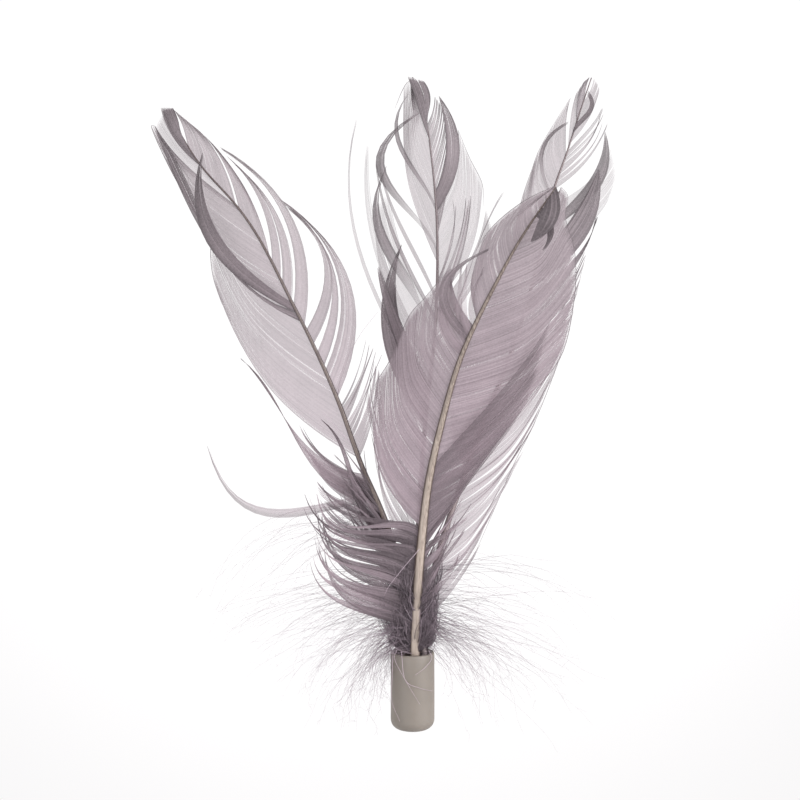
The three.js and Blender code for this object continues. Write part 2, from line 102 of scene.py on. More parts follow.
LOCKS = {
    "front left": {
        "heel_5": [(22, -20.5, 39.5, 9, -1, 10.5, 0.4), (27.5, -21, 43, 9, -2, 9, 0.4)],
        "heel_4": [(27, -20.5, 44, 9.6, -2.5, 10.5, 0.3), (32, -21.5, 47.5, 9.6, -3, 9, 0.3)],
        "heel_3": [(31.5, -21.5, 47.5, 9.2, -3, 10.5, 0.3), (36.5, -22, 50, 9.2, -3.5, 9, 0.3)],
        "heel_2": [(36, -22, 50.5, 10.2, -3, 10, 0.3), (41, -21.8, 51, 10.2, -3.5, 8, 0.3)],
        "heel_1": [(41, -20, 50, 10.6, -2, 4, 0.2), (45.5, -17.5, 50.5, 10.6, -1.5, 3, 0.2)],
        "vane": [
            (46, -9, 74.5, 11, 5, 6, 0), (54.5, -8, 78.5, 12.5, 3, 4, 0), (62.5, -5.5, 82.5, 14, 2, 3, 0),
            (69, -3.5, 86.5, 15.5, 1.5, 2.5, 0), (74, -1, 92.5, 17.5, 1.5, 2.5, 0),
            (80, 2.5, 96.5, 19.5, 1.5, 2.5, 0), (85, 5.5, 100, 21, 1.5, 2, 0),
            (90, 8, 102.5, 22, 1.5, 2, 0),
        ],
        "high": [
            (91.5, 12.5, 105, 23, 1, 1.5, 0), (96.5, 15, 109, 25, 1, 1.5, 0),
            (103.5, 19, 113, 27, 1, 1, 0), (109.5, 23.5, 116, 29, 1, 1, 0),
            (114.5, 27, 117.5, 30.5, 0.5, 1, 0), (117.5, 28.9, 118.3, 31, 0, 0.3, 0),
        ],
        "swirl": [
            (84, 7.6, 101, 22.6, 4.5, 1.5, 0.8), (88, 12, 104.6, 23.8, 4, 2, 1),
            (91.4, 18, 106.8, 24.6, 4.5, 2, 0.9),
        ],
        "flick": [(87, 16.8, 106.7, 25.5, 13.6, 9, 1.5), (88.4, 17, 106.4, 25.5, 11.6, 7.8, 1.5)],
    },
    "front right": {
        "vane": [
            (41.5, 9, 50, 8.5, -0.5, 0.5, 0), (48, 13, 57.5, 9.5, 0.5, 1.5, 0),
            (53.5, 17.5, 63.5, 11, 1, 2, 0), (64.5, 26.5, 76, 13.5, 1.5, 2, 0),
            (75, 32.5, 85, 16.5, 1.5, 2, 0), (85, 34.5, 97, 20, 1.5, 2.5, 0),
            (95.5, 34, 106, 23, 1.5, 2, 0), (105.5, 31.5, 112.5, 27, 1, 1.5, 0),
            (112.5, 31.5, 116.5, 30, 1, 1.5, 0), (117, 30, 118, 31, 0.5, 1, 0),
        ],
        # Painted shade: a dark, half see-through lock laid in the vane, where the vanes behind it darken
        # it.
        "veil": [
            (43, 12.4, 56.8, 9.9, 0.5, 1.5, 0.3), (52, 24.5, 73.5, 14.2, 0.5, 1.5, 0.6),
            (59.5, 29.4, 92, 21.2, 0.5, 2.8, 0.8),
        ],
        "curl": [(115.5, 23.6, 106.6, 32.4, 0, 0, 2), (117.9, 23.8, 106.4, 32.8, -3.4, -3.8, 2)],
        "curl_end": [(112.5, 26, 105, 32, -1.5, -2.5, 1.6), (114, 26.2, 104.8, 32, -2.4, -3.2, 1.6)],
        "heel_1": [(32.5, 9.5, 47, 9, 0.5, 0.5, 0), (42, 10, 53, 9.4, -0.5, 0.3, 0)],
        "heel_2": [(25.5, 7.5, 41.5, 8.6, 1, 1, 0), (31.5, 9, 48, 9.4, 0.5, 0.5, 0)],
    },
    "left left": {
        "wisp": [(52, -46.6, 64, 5, 6.4, 21.4, 0), (53, -46.6, 64, 5, 4.8, 19.8, 0)],
        "heel": [
            (42, -20, 50.5, 3.5, 2, 3, 0), (48, -22.7, 58.5, 3, 1, 2.5, 0),
            (56, -26, 68.5, 2.6, 2, 2.5, 0),
        ],
        "cross": [(41.5, -20.7, 70.4, 8.5, 8, -4, 0.8), (45, -20.4, 70, 8.5, 5.5, -4.5, 0.8)],
        "shag": [
            (38, -14, 53, 7.6, 3.5, 2, 0.6), (44, -14.6, 58, 7.6, 2.5, 1.5, 0.6),
            (52, -13.2, 63, 7.6, 1, 0.5, 0.6),
        ],
        "fork": [(51, -39.5, 84, 2.2, 13, -3, 0), (57.6, -39.2, 84, 2.2, 9.5, 0.4, 0)],
        "vane": [
            (61.5, -44, 96.5, TOUCH, 5.5, 7, -1), (70, -46, 102.5, TOUCH, 4, 6, -1),
            (79, -46.5, 108, 1.5, 3.5, 5, -1), (87, -46, 113, 3.5, 3, 4.5, -0.5),
            (93, -46.5, 117, 5, 2.5, 4, 0),
        ],
        "edge": [(92, -57.4, 134.6, 9.8, 10.4, 4.5, 1.5), (94, -57, 134.6, 10.2, 12.5, -0.5, 1.5)],
        "fold": [(94, -46.4, 128.8, 12.5, 8.8, 14.6, 2), (96, -46.2, 128.8, 13, 6.6, 9.8, 2)],
        "high": [
            (94.5, -48, 116.5, 6.4, 2.5, 3.8, 0), (98.5, -50, 118.6, 7.5, 2.5, 3.5, 0),
            (105, -54.5, 126.5, 8, 2, 3.5, 0), (112, -58.5, 135.5, 8.5, 2, 4, 0),
            (117.4, -57.8, 136, 8.5, 1, 2.4, 0),
        ],
        "sheer": [(116, -58, 135.4, 8.2, 1.4, 3, 0), (127, -55.8, 139, 8.5, 0.8, 1.4, 0)],
        "tip": [(126.5, -56.3, 139.8, 9.4, 1.8, 2, 0.5), (134, -53.6, 139.8, 9.4, -0.5, -0.5, 0.5)],
    },
    "left right": {
        "low": [
            (61.5, -7.5, 79.5, 5.8, 1.5, 1, 0.2), (67, -8.5, 84, 6, 1.5, 1, 0.2),
            (73, -10.5, 88, 6.3, 1.5, 1, 0.2),
        ],
        "strand_1": [(75, -30, 119.5, 8, 13.5, 13.5, 0.5), (81, -29.5, 119.5, 8, 10.5, 11, 0.5)],
        "strand_2": [(82, -29, 118.5, 9, 9.5, 10.5, 0.8), (85, -28.5, 118.5, 9, 8.5, 9.5, 0.8)],
        "strand_3": [(87, -28, 117.5, 9.6, 9, 10, 1), (90, -27.5, 117, 9.6, 7.5, 8.5, 1)],
        "outer": [(91, -43, 131, 9, 10.5, 10.5, 0), (95.5, -42.5, 130.5, 9, 8, 8.5, 0)],
        "inner": [(96.5, -39.5, 127, 9.6, 6, 6, 0), (100.5, -40, 127.5, 9.6, 4.5, 5, 0)],
        "slit": [(101.5, -40.5, 128, 10, 4.5, 5, 0), (105, -41.5, 129, 10, 3.5, 4, 0)],
        "upper": [
            (106, -44, 130.5, 10, 2.5, 3, 0), (112, -45, 132, 10, 2, 2.5, 0),
            (117, -46.5, 133.5, 10, 1.5, 2, 0),
        ],
        "top": [
            (118, -47.5, 134.5, 9.8, 1.5, 2, 0), (124, -50.5, 137, 9.5, 1.5, 1.5, 0),
            (131, -53.5, 139.5, 9.2, 0.5, 1, 0),
        ],
    },
    "middle left": {
        "base_0": [(38, -9.5, 66, 2.5, 4.5, 4, 0), (45, -7.5, 67, 2.5, 1.5, 2, 0)],
        "base_1": [(46, -11.5, 74.5, 2.2, 3, 3.5, 0), (54, -8, 81, 2.2, 2.5, 3, 0)],
        "base_2": [(62, -4, 101, 1.8, 3.5, 5, 0), (65.5, -3.5, 101, 1.8, 3, 4, 0)],
        "base_3": [(69, -2.5, 110, 2.8, 8, 10.5, 0), (75, -2.5, 110, 2.8, 3, 6, 0)],
        "leaf": [(74, -8, 104.5, 4.6, 2.5, 2.5, 0.4), (78, -7.6, 105, 4.6, 0.5, 0.5, 0.4)],
        "wisp_1": [(75.5, -13, 138.5, 3.4, 6, 12.5, 0), (76.7, -12.7, 138.5, 3.4, 5.7, 12, 0)],
        "wisp_2": [(81, -10.5, 133, 1.8, 5, 8, 0), (83.5, -10, 133, 1.8, 4, 6.5, 0)],
        "blade_1": [(86.8, -6.1, 127.4, 4.4, -2.2, 14.6, 0.3), (88.4, -5.9, 127.7, 4.4, -3.2, 11.6, 0.3)],
        "pale_1": [
            (82, -8.5, 119, 2.2, 4.5, 6, 0), (86, -7.5, 120, 2.2, 2.5, 3.5, 0),
            (89, -5.5, 122, 2.2, 1, 2, 0),
        ],
        "blade_2": [(92.5, -8.5, 129, 4.6, 2, 4, 0), (93.6, -8.2, 129, 4.6, 1.6, 3.6, 0)],
        "blade_3": [(97, -7.6, 128, 4.8, 0, 3, 0.2), (98, -7.4, 128, 4.8, -0.5, 2.4, 0.2)],
        "hoop": [(104.5, 1.2, 139.8, 4.6, -4.6, 26.4, 0.6), (104.7, 1.9, 140.4, 4.6, -4.6, 24.2, 0.6)],
        "ring": [(112, -1, 144.2, 5, -5, 13, 0.6), (112.3, -0.6, 144.6, 5, -5.1, 12, 0.6)],
        "inner": [
            (106, -4, 141, 4.2, 2, 2.5, 0), (117, -2.5, 144.5, 5, 1.5, 2, 0),
            (127, -1.2, 146.4, 6, 0.5, 1, 0), (132.5, -0.3, 146.9, 6.3, 0.2, 0.3, 0),
        ],
        "tip": [(133.5, -1.2, 147.6, 6.8, 0.2, -0.3, 0.4), (138, 2.5, 146.5, 6.8, -1.2, -2, 0.4)],
    },
    "middle right": {
        "stray": [(86, 20.5, 122, 2.9, 3, -2, 0), (87.5, 21, 122, 2.9, 2.5, -2, 0)],
        "low": [(89, 18.5, 113.5, 1.4, 2.5, 3, 0), (95, 17, 118.5, 1.5, 2, 3, 0)],
        "outer": [
            (97.5, 16.5, 119, 1.6, 2.5, 3, 0), (104.5, 16, 124.5, 1.8, 2, 3, 0),
            (111.5, 13, 130.5, 2.2, 1.5, 2.5, 0), (117.5, 10.5, 136.5, 2.6, 1.5, 2, 0),
        ],
        "frayed": [(92, 14, 119.5, 3.8, 2.5, 2.4, 0.6), (102, 9.4, 121, 4, 1.5, 1.8, 0.6)],
        "fold": [(117.5, 6, 143.5, 5.4, 6, 7, 1.2), (122, 6, 143.3, 5.4, 3.5, 2, 1.2)],
        "fringe": [
            (112, 8.5, 130, 3.4, 0.5, 1, 0), (125.5, 7.7, 139.5, 4.4, 0.5, 1, 0),
            (137, 5, 143.5, 5.4, 0.5, 0.5, 0),
        ],
        "top": [(138.5, 3, 142.5, 6.2, 0, 0, 0), (144.5, 1.5, 147, 6.6, 0, 0, 0)],
    },
    "right left": {
        "vane": [
            (58.5, 7.5, 74.5, 3.2, 1, 1.5, 0), (74.5, 15, 90.5, 3.4, 0.5, 1, 0),
            (90.5, 21.5, 106, 3.6, 0.5, 1, 0), (106, 25, 120.5, 4, 1, 1.5, 0),
            (116, 27, 126.5, 4.2, 1, 1.5, 0), (122.5, 29.3, 132.5, 4.6, 1, 1.5, 0),
            (126.5, 32.3, 137.6, 5, 0.8, 1.4, 0), (130, 35.8, 143, 5.6, 0.4, 1, 0),
        ],
        "high": [(131.5, 37.1, 144, 5.8, 0.3, 0.8, 0), (137, 38.8, 146.6, 6, 0.3, 0.6, 0)],
        "hook": [(120.5, 35.3, 137.6, 6, 5, 7.6, 0.6), (121.1, 35.2, 137.1, 6, 4.4, 6.3, 0.6)],
        "tip": [(137.5, 38.8, 146.6, 6.4, 0.8, 1, 0.3), (143, 40, 147.5, 6.5, 0.3, 0.4, 0.3)],
    },
    "right right": {
        "skirt": [
            (25, 12, 35, 3, 1, 1, 0), (30, 14.6, 40, 2.8, 1, 1, 0), (36, 18.2, 48, 2.2, 1.5, 1.5, 0),
            (43.5, 23, 59, 1.8, 1.5, 2, 0), (53, 28, 69, 1.4, 2, 2.5, 0), (64, 33.5, 83, 1.2, 2, 2.5, 0),
            (76, 37, 96, 1.2, 2, 2.5, 0), (90, 40, 108, 1.2, 1.5, 2.5, 0),
        ],
        "blade": [(93.5, 42, 116.5, 3, 3, 4.5, 0.6), (98.5, 42.5, 116.5, 3, 2.5, 3.5, 0.6)],
        "fold": [(100, 42.5, 127, 4.8, 5, 8, 1), (106, 42.3, 127, 4.8, 1.2, 1.5, 1)],
        "sheer": [
            (108.5, 45.5, 121, TOUCH, 2, 3, -0.8), (113.5, 47, 126.5, TOUCH, 2, 3, -0.8),
            (118.5, 46, 132.5, TOUCH, 2, 3, -0.8),
        ],
        "crumple": [(112, 44.1, 136, 3.4, 3.2, 10.2, 0), (113.5, 43.9, 135.6, 3.4, 2, 5.6, 0)],
        "strand": [
            (122.5, 43.8, 136.5, 5, 1.5, 2, 0.4), (127, 43.7, 139, 5.2, 1, 2, 0.4),
            (131, 42.7, 141.6, 5.4, 0.6, 1.4, 0.4),
        ],
        "high": [
            (133, 41.3, 141.3, 5.4, 0.6, 0.9, 0), (137.5, 42.3, 145, 6, 0.6, 1, 0),
            (142, 41, 147.2, 6.3, 0.4, 0.6, 0),
        ],
        "pleat": [(133.4, 39.6, 144.3, 7, -1.3, 5.9, 0.5), (134.8, 39.4, 143.5, 7, -1.6, 4, 0.5)],
    },
}
TUFTS = {
    "front left": [(22, -24, 18, 9.5, -5, -4, 1.5), (21, -17, 9, 10, -6, -4, 2)],
    "front right": [(23, 26, 20, 9.5, -4, -4, 1.5), (22, 18, 11, 10, -5, -4, 2)],
    "left left": [
        (20.5, -8.5, 8, 6, -4, -2, 0.5), (21.5, -9.5, 4.5, 5, -5, -3, 0.5),
        (22.5, -15.5, 5, 3, -6, -4, 1), (24.5, -23, 12, 3.5, -5, -5, 1), (28, -29, 19, 4, -5, -5, 1),
        (31, -36, 25, 4.5, -4, -5, 1), (46, -38, 31, 5, -6, -8, 0.5),
    ],
    "left right": [],
    "middle left": [(21, -13, 9, 0.7, -3, -2, 0), (24, -20, 16, 0.7, -4, -3, 0)],
    "middle right": [(21, 13, 9, 0.7, -3, -2, 0), (24, 21, 17, 0.7, -4, -3, 0)],
    "right left": [],
    "right right": [
        (21.5, 14.5, 5, 4, -6, -3, 0.5), (22.5, 21.5, 7.5, 3, -5, -4, 1), (24, 28.5, 6.5, 3.5, -5, -6, 1),
        (25, 36, 14, 4.5, -2, -3, 0.5), (28, 31, 22, 4, -4, -4, 0.5), (33, 39, 26.5, 5, -7, -6, 0.5),
    ],
}
SIDES = {"left": -1, "right": 1}


class Look(NamedTuple):
    """How the barbs of a lock lie."""

    cover: float  # share of the light that they keep back; 1 is opaque
    pull: float = 0.05  # how far neighbours draw together, which opens slits between the clusters
    shade: float = 0.0  # how much darker than the rest of the feather
    tip_shade: float = 0.25  # how much darker again at the tips, where barbs pile up
    layers: int = 1  # sheets of barbs over each other, each laid a little differently
    comb: float = 0.0  # how far the barbs have come apart, from 0 for a whole sheet to 1 for threads
    root_shade: float = 0.0  # how much darker at the shaft
    toss: float = 0.0  # millimetres that the clusters' tips are thrown about
    root_thin: float = 0.0  # how much more see-through at the shaft


HEEL = Look(0.97, 0.68, 0.16, -0.1, layers=2, comb=0.35, root_shade=0.3, toss=1.1)
CURL = Look(1.0, 0.0, 0.5, 0.4)

# A lock that isn't named here has its feather's own look.
LOOKS = {
    "front": Look(0.95, 0.02, -0.03, 0.04, root_shade=0.05),
    "front high": Look(0.95, 0.02, -0.13, 0.0, root_shade=0.05),
    # Painted shade: dark barbs standing in for the vanes that lie behind the front vane.
    "front veil": Look(0.55, 0.1, 0.55, 0.0),
    **{f"front {name}": CURL for name in ("curl", "curl_end")},
    "front swirl": Look(0.6, 0.7, -0.1, 0.2, comb=0.4, toss=1.2),
    "front flick": Look(0.9, 0.1, 0.1, 0.3),
    **{f"front heel_{k}": HEEL for k in range(1, 6)},
    "left": Look(0.8, 0.08, -0.1, 0.2),
    "left vane": Look(0.7, 0.05, -0.1, 0.15),
    "left high": Look(0.8, 0.05, -0.1, 0.25),
    "left edge": Look(0.9, 0.05, 0.25, 0.15),
    "left fold": Look(1.0, 0.0, 0.3, 0.15),
    "left sheer": Look(0.5, 0.1, -0.15, 0.1),
    "left tip": Look(1.0, 0.0, 0.35, 0.1),
    "left heel": Look(0.75, 0.5, 0.08, 0.0, layers=2, comb=0.2, root_shade=0.3, toss=0.7),
    "left cross": Look(0.95, 0.1, 0.25, 0.2),
    "left shag": Look(0.9, 0.85, 0.3, -0.1, layers=2, comb=0.3, root_shade=0.2, toss=1.6),
    "left wisp": Look(0.6, 0.1, 0.0, 0.2),
    "left low": Look(0.7, 0.9, 0.0, 0.1, comb=0.5, root_shade=0.1, toss=0.6),
    "middle": Look(0.6, 0.1, 0.0, 0.25),
    "middle base_0": Look(0.6, 0.9, 0.0, 0.1, comb=0.5, root_shade=0.1, toss=0.6),
    "middle base_1": Look(0.6, 0.7, 0.0, 0.1, comb=0.4, root_shade=0.1, toss=0.4),
    "middle base_3": Look(0.97, 0.0, 0.35, 0.1),
    "middle leaf": Look(0.95, 0.1, 0.25, 0.1),
    "middle blade_1": Look(0.88, 0.1, 0.2, 0.3, root_thin=0.7),
    "middle pale_1": Look(0.4, 0.2, 0.0, 0.2),
    "middle blade_2": Look(0.7, 0.1, 0.05, 0.3),
    "middle wisp_1": Look(0.45, 0.1, 0.0, 0.2),
    "middle wisp_2": Look(0.35, 0.2, 0.0, 0.2),
    "middle hoop": Look(0.88, 0.15, 0.15, 0.35, root_thin=0.65),
    "middle ring": Look(0.85, 0.1, 0.15, 0.35, root_thin=0.45),
    "middle fringe": Look(0.75, 0.55, 0.1, 0.25, comb=0.3),
    "middle outer": Look(0.5, 0.15, 0.0, 0.15),
    "middle frayed": Look(0.6, 0.75, 0.1, 0.15, comb=0.5, toss=0.7),
    "middle fold": Look(0.97, 0.05, 0.08, 0.3),
    "middle tip": Look(1.0, 0.08, 0.35, 0.0),
    "right": Look(0.66, 0.08, 0.0, 0.15),
    "right skirt": Look(0.6, 0.16, 0.0, 0.25, root_shade=0.15, toss=0.3),
    "right high": Look(0.6, 0.2, 0.0, 0.15),
    "right tip": Look(0.85, 0.1, 0.2, 0.2),
    "right sheer": Look(0.35, 0.1),
    "right fold": Look(0.98, 0.0, 0.3, 0.1),
    "right blade": Look(0.95, 0.0, 0.25, 0.2),
    "right strand": Look(0.6, 0.7, 0.0, 0.5, comb=0.2, toss=0.4),
    "right crumple": Look(0.85, 0.1, 0.15, 0.4),
    "right hook": Look(0.85, 0.1, 0.15, 0.35, root_thin=0.5),
    "right pleat": Look(0.97, 0.1, 0.25, 0.1),
}


# ---- Number helpers ----
def smooth(at, known, values):
    """Values at the given places, on one smooth curve through those known."""
    known, values = np.asarray(known, float), np.asarray(values, float)
    if len(known) == 2:
        return np.interp(at, known, values)
    slope = np.gradient(values, known)
    k = np.clip(np.searchsorted(known, at) - 1, 0, len(known) - 2)
    step = known[k + 1] - known[k]
    t = (at - known[k]) / step
    return (
        (2 * t**3 - 3 * t**2 + 1) * values[k] + (t**3 - 2 * t**2 + t) * step * slope[k]
        + (3 * t**2 - 2 * t**3) * values[k + 1] + (t**3 - t**2) * step * slope[k + 1]
    )


def smooth_columns(at, known, table):
    """One such curve through each column of a table, side by side."""
    return np.stack([smooth(at, known, column) for column in np.transpose(table)], axis=-1)


def ease(low, high, x):
    """0 below low, 1 above high, and an S between them."""
    t = np.clip((x - low) / (high - low), 0, 1)
    return t * t * (3 - 2 * t)


def unit(vectors):
    return vectors / np.maximum(np.linalg.norm(vectors, axis=-1, keepdims=True), 1e-9)


def shaft_points(feather, heights):
    line = np.array(LINES[feather], float)
    x, z = (smooth(heights, line[:, 1], line[:, k]) for k in (0, 2))
    return np.stack([x, heights, z], axis=-1)


def guide_paths(feather, side, guides, stations):
    """The paths (guide, station, xyz) of guides that are rows of a table."""
    guides = np.asarray(guides, float)
    foot = shaft_points(feather, guides[:, 0])
    tip = guides[:, 1:4]
    chord = tip - foot
    flat = np.hypot(chord[:, 0], chord[:, 1])
    outward = side * np.stack([chord[:, 1], -chord[:, 0], 0 * flat], axis=-1) / flat[:, None]
    lift = np.zeros_like(foot)
    lift[:, 2] = guides[:, 6]
    near = foot + chord / 3 + outward * guides[:, 4:5] + lift
    far = foot + chord * 2 / 3 + outward * guides[:, 5:6] + lift
    t = stations[:, None]
    foot, near, far, tip = (point[:, None, :] for point in (foot, near, far, tip))
    return (1 - t) ** 3 * foot + 3 * t * (1 - t) ** 2 * near + 3 * t * t * (1 - t) * far + t**3 * tip


# ---- Mesh helpers ----
NEARLY_UP = (0.013, 0.0, 1.0)  # no tube runs just this way, so a cross product with it finds its sides
ROW_MARGIN = 0.1  # what a tube leaves free at each side of its row of the texture


class Sheaf:
    """Vertices, faces and their numbers, gathered from many strands into one mesh."""

    def __init__(self):
        self.points, self.faces, self.numbers, self.uv_rows = [], [], [], []
        self.count = 0

    def add(self, points, faces, uvs, **numbers):
        """points (n, 3) in millimetres; faces (f, 3 or 4); uvs (n, 2), with whole rows in v."""
        self.points.append(points)
        self.faces.extend((faces + self.count).tolist())
        self.uv_rows.append(uvs)
        self.numbers.append({key: np.broadcast_to(value, len(points)) for key, value in numbers.items()})
        self.count += len(points)

    def rows(self):
        return 0 if not self.uv_rows else int(math.ceil(max(uv[:, 1].max() for uv in self.uv_rows)))

    def piece(self, name, material, slot, replaced):
        points = np.concatenate(self.points) * MM + FOOT
        mesh = bpy.data.meshes.new(name)
        mesh.from_pydata(points.tolist(), [], self.faces)
        mesh.shade_smooth()
        uvs = np.concatenate(self.uv_rows)
        uvs[:, 1] /= self.rows()
        corner = np.zeros(len(mesh.loops), np.int64)
        mesh.loops.foreach_get("vertex_index", corner)
        layer = mesh.uv_layers.new(name="OFBake")
        layer.uv.foreach_set("vector", uvs[corner].astype(np.float32).ravel())
        for key in self.numbers[0]:
            values = np.concatenate([numbers[key] for numbers in self.numbers]).astype(np.float32)
            mesh.attributes.new(key, "FLOAT", "POINT").data.foreach_set("value", values)
        mesh.materials.append(material)
        mesh.update()
        return dress(bpy.data.objects.new(name, mesh), slot, replaced)


def dress(piece, slot, *replaced):
    bpy.context.scene.collection.objects.link(piece)
    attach(piece, BODY)
    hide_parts(*replaced)
    return piece


def directions(paths):
    return unit(np.gradient(paths, axis=1))


def strand_faces(strands, stations, across, closed):
    """Quads of strands that are grids of stations by across, closed to a tube or open."""
    spans = np.arange(across if closed else across - 1)
    s, i, k = np.meshgrid(np.arange(strands), np.arange(stations - 1), spans, indexing="ij")
    row = (s * stations + i) * across
    first, second = (row + k).ravel(), (row + (k + 1) % across).ravel()
    return np.stack([first, second, second + across, first + across], axis=-1)


def raise_above(least, points):
    """Lifts the points that lie lower than the least height."""
    points[..., 2] = np.maximum(points[..., 2], least)


def add_tubes(sheaf, paths, radii, sides, **numbers):
    """Closed tubes along paths (strand, station, xyz), with radii and numbers (strand, station)."""
    strands, stations = paths.shape[:2]
    along = directions(paths)
    across = unit(np.cross(along, np.array(NEARLY_UP)))
    up = np.cross(across, along)
    angle = 2 * math.pi * np.arange(sides) / sides
    ring = (
        across[:, :, None, :] * np.cos(angle)[:, None]
        + up[:, :, None, :] * np.sin(angle)[:, None]
    )
    points = paths[:, :, None, :] + radii[:, :, None, None] * ring
    row = sheaf.rows() + np.arange(strands)
    uvs = np.zeros((strands, stations, sides, 2))
    uvs[..., 0] = np.linspace(0, 1, stations)[:, None]
    # There and back across the row, so that a tube has no seam.
    there_and_back = np.abs(np.linspace(-1, 1, sides, endpoint=False))
    uvs[..., 1] = row[:, None, None] + ROW_MARGIN + (1 - 2 * ROW_MARGIN) * there_and_back
    grid = (strands, stations, sides)
    spread = {key: np.broadcast_to(value[..., None], grid).ravel() for key, value in numbers.items()}
    spread["side"] = np.broadcast_to(np.cos(angle), grid).ravel()
    sheaf.add(points.reshape(-1, 3), strand_faces(*grid, closed=True), uvs.reshape(-1, 2), **spread)
    base = sheaf.count - strands * stations * sides
    for strand in range(strands):
        start = base + strand * stations * sides
        end = start + (stations - 1) * sides
        sheaf.faces.append([start + k for k in reversed(range(sides))])
        sheaf.faces.append([end + k for k in range(sides)])


# ---- Node helpers ----
def linear(code):
    """Linear red, green and blue of an sRGB hex colour."""
    parts = [int(code[i:i + 2], 16) / 255 for i in (1, 3, 5)]
    return tuple(part / 12.92 if part <= 0.04045 else ((part + 0.055) / 1.055) ** 2.4 for part in parts)


def opaque(colour, brightness=1.0):
    return tuple(brightness * part for part in colour) + (1,)


class Recipe:
    """A material in the making, with the kinds of node that most materials need."""

    def __init__(self, name):
        self.material = bpy.data.materials.new(name)
        self.material.use_nodes = True
        self.tree = self.material.node_tree
        self.tree.nodes.clear()

    def add(self, kind, inputs=None, **settings):
        """Adds a node. Sockets, and nodes for their first output, are linked to it. Values are set."""
        node = self.tree.nodes.new("ShaderNode" + kind)
        for key, value in settings.items():
            setattr(node, key, value)
        for key, value in (inputs or {}).items():
            if isinstance(value, (bpy.types.Node, bpy.types.NodeSocket)):
                self.tree.links.new(getattr(value, "outputs", [value])[0], node.inputs[key])
            else:
                node.inputs[key].default_value = value
        return node

    def numbers(self, *keys):
        """Numbers that the mesh holds for each of its points."""
        return [self.add("Attribute", attribute_name=key).outputs["Fac"] for key in keys]

    def place(self):
        return self.add("TexCoord").outputs["Object"]

    def noise(self, place, size, detail):
        """Noise with lumps of about this size in millimetres."""
        return self.add("TexNoise", {"Vector": place, "Scale": 1 / (size * MM), "Detail": detail})

    def maths(self, operation, *values, **settings):
        return self.add("Math", dict(enumerate(values)), operation=operation, **settings)

    def blend(self, share, start, end):
        mix = self.add("Mix", {"Factor": share, "A": start, "B": end}, data_type="RGBA")
        return mix.outputs["Result"]

    def finish(self, surface):
        self.add("OutputMaterial", {"Surface": surface})
        return self.material


# ---- Settings ----
class FeatherSettings(bpy.types.PropertyGroup):
    """Sizes and colours of the feathers."""

    barb_spacing: FloatProperty(
        name="Barb spacing", description="Distance between barbs along a shaft",
        default=0.27 * MM, min=0.1 * MM, unit="LENGTH",
    )
    barb_overlap: FloatProperty(
        name="Barb overlap", description="Width of a barb as a share of the spacing",
        default=1.06, min=0.2,
    )
    strands_per_tuft: IntProperty(
        name="Strands per tuft", description="Strands of down around each tuft's path",
        default=40, min=4,
    )
    vane_colour: FloatVectorProperty(
        name="Barbs", description="Colour of the dyed barbs", subtype="COLOR",
        default=linear("#A5959D"),
    )
    tip_colour: FloatVectorProperty(
        name="Tips", description="Colour of the barbs near the feather tips", subtype="COLOR",
        default=linear("#9E9398"),
    )
    down_colour: FloatVectorProperty(
        name="Down", description="Colour of the down", subtype="COLOR", default=linear("#A797A1"),
    )


class SleeveSettings(bpy.types.PropertyGroup):
    """Sizes and colour of the sleeve."""

    wall: FloatProperty(
        name="Wall", description="Thickness of the sleeve's wall",
        default=0.8 * MM, min=0.2 * MM, unit="LENGTH",
    )
    closed_end: FloatProperty(
        name="Closed end", description="Thickness of the sleeve's closed end",
        default=3 * MM, unit="LENGTH",
    )
    colour: FloatVectorProperty(
        name="Sleeve", description="Colour of the sleeve", subtype="COLOR",
        default=linear("#756D66"),
    )


class StageSettings(bpy.types.PropertyGroup):
    """The light table, the lamps and the camera."""

    glow: FloatProperty(name="Glow", description="How brightly the light table glows", default=1.05)
    camera_height: FloatProperty(
        name="Camera height", description="Height of the camera above the table",
        default=257.5 * MM, unit="LENGTH",
    )


# ---- Materials ----
def dyed_barb_keratin(colour, tip_colour):
    """Goose barbs, acid-dyed mauve: horn fibre with a soft sheen, which glows when lit from behind."""
    barb = Recipe("dyed_barb_keratin")
    tint, cover = barb.numbers("tint", "cover")
    place = barb.place()
    # The tips took less dye, so the horn's own grey shows there.
    height = barb.add("SeparateXYZ", {"Vector": place}).outputs["Y"]
    bleached = barb.add("MapRange", {"Value": height, "From Min": -0.01, "From Max": 0.04})
    hue = barb.blend(bleached, opaque(colour), opaque(tip_colour))
    # Dye takes unevenly, in patches a few millimetres across.
    patches = barb.noise(place, 6, 2.0)
    # The barbules' hooks give a fine grain, drawn at 0.35 mm because the real 0.03 mm can't show.
    grain = barb.noise(place, 0.35, 1.0)
    uneven = barb.maths("MULTIPLY_ADD", patches, 0.3, -0.21)
    speckle = barb.maths("MULTIPLY_ADD", grain, 0.42, uneven)
    shade = barb.maths("ADD", speckle, tint)
    depth = barb.add("MapRange", {
        "Value": shade, "From Min": 0.0, "From Max": 1.3, "To Min": 0.3, "To Max": 1.45,
    })
    mixed = barb.add("VectorMath", {0: hue, "Scale": depth}, operation="SCALE")
    bump = barb.add("Bump", {"Height": grain, "Strength": 0.25, "Distance": 0.05 * MM})
    horn = barb.add("BsdfPrincipled", {
        "Base Color": mixed, "Normal": bump, "Roughness": 0.55, "IOR": 1.54, "Specular IOR Level": 0.35,
    })
    glow = barb.add("BsdfTranslucent", {"Color": mixed})
    lit = barb.add("MixShader", {0: 0.5, 1: horn, 2: glow})
    gap = barb.add("BsdfTransparent")
    return barb.finish(barb.add("MixShader", {0: cover, 1: gap, 2: lit}))


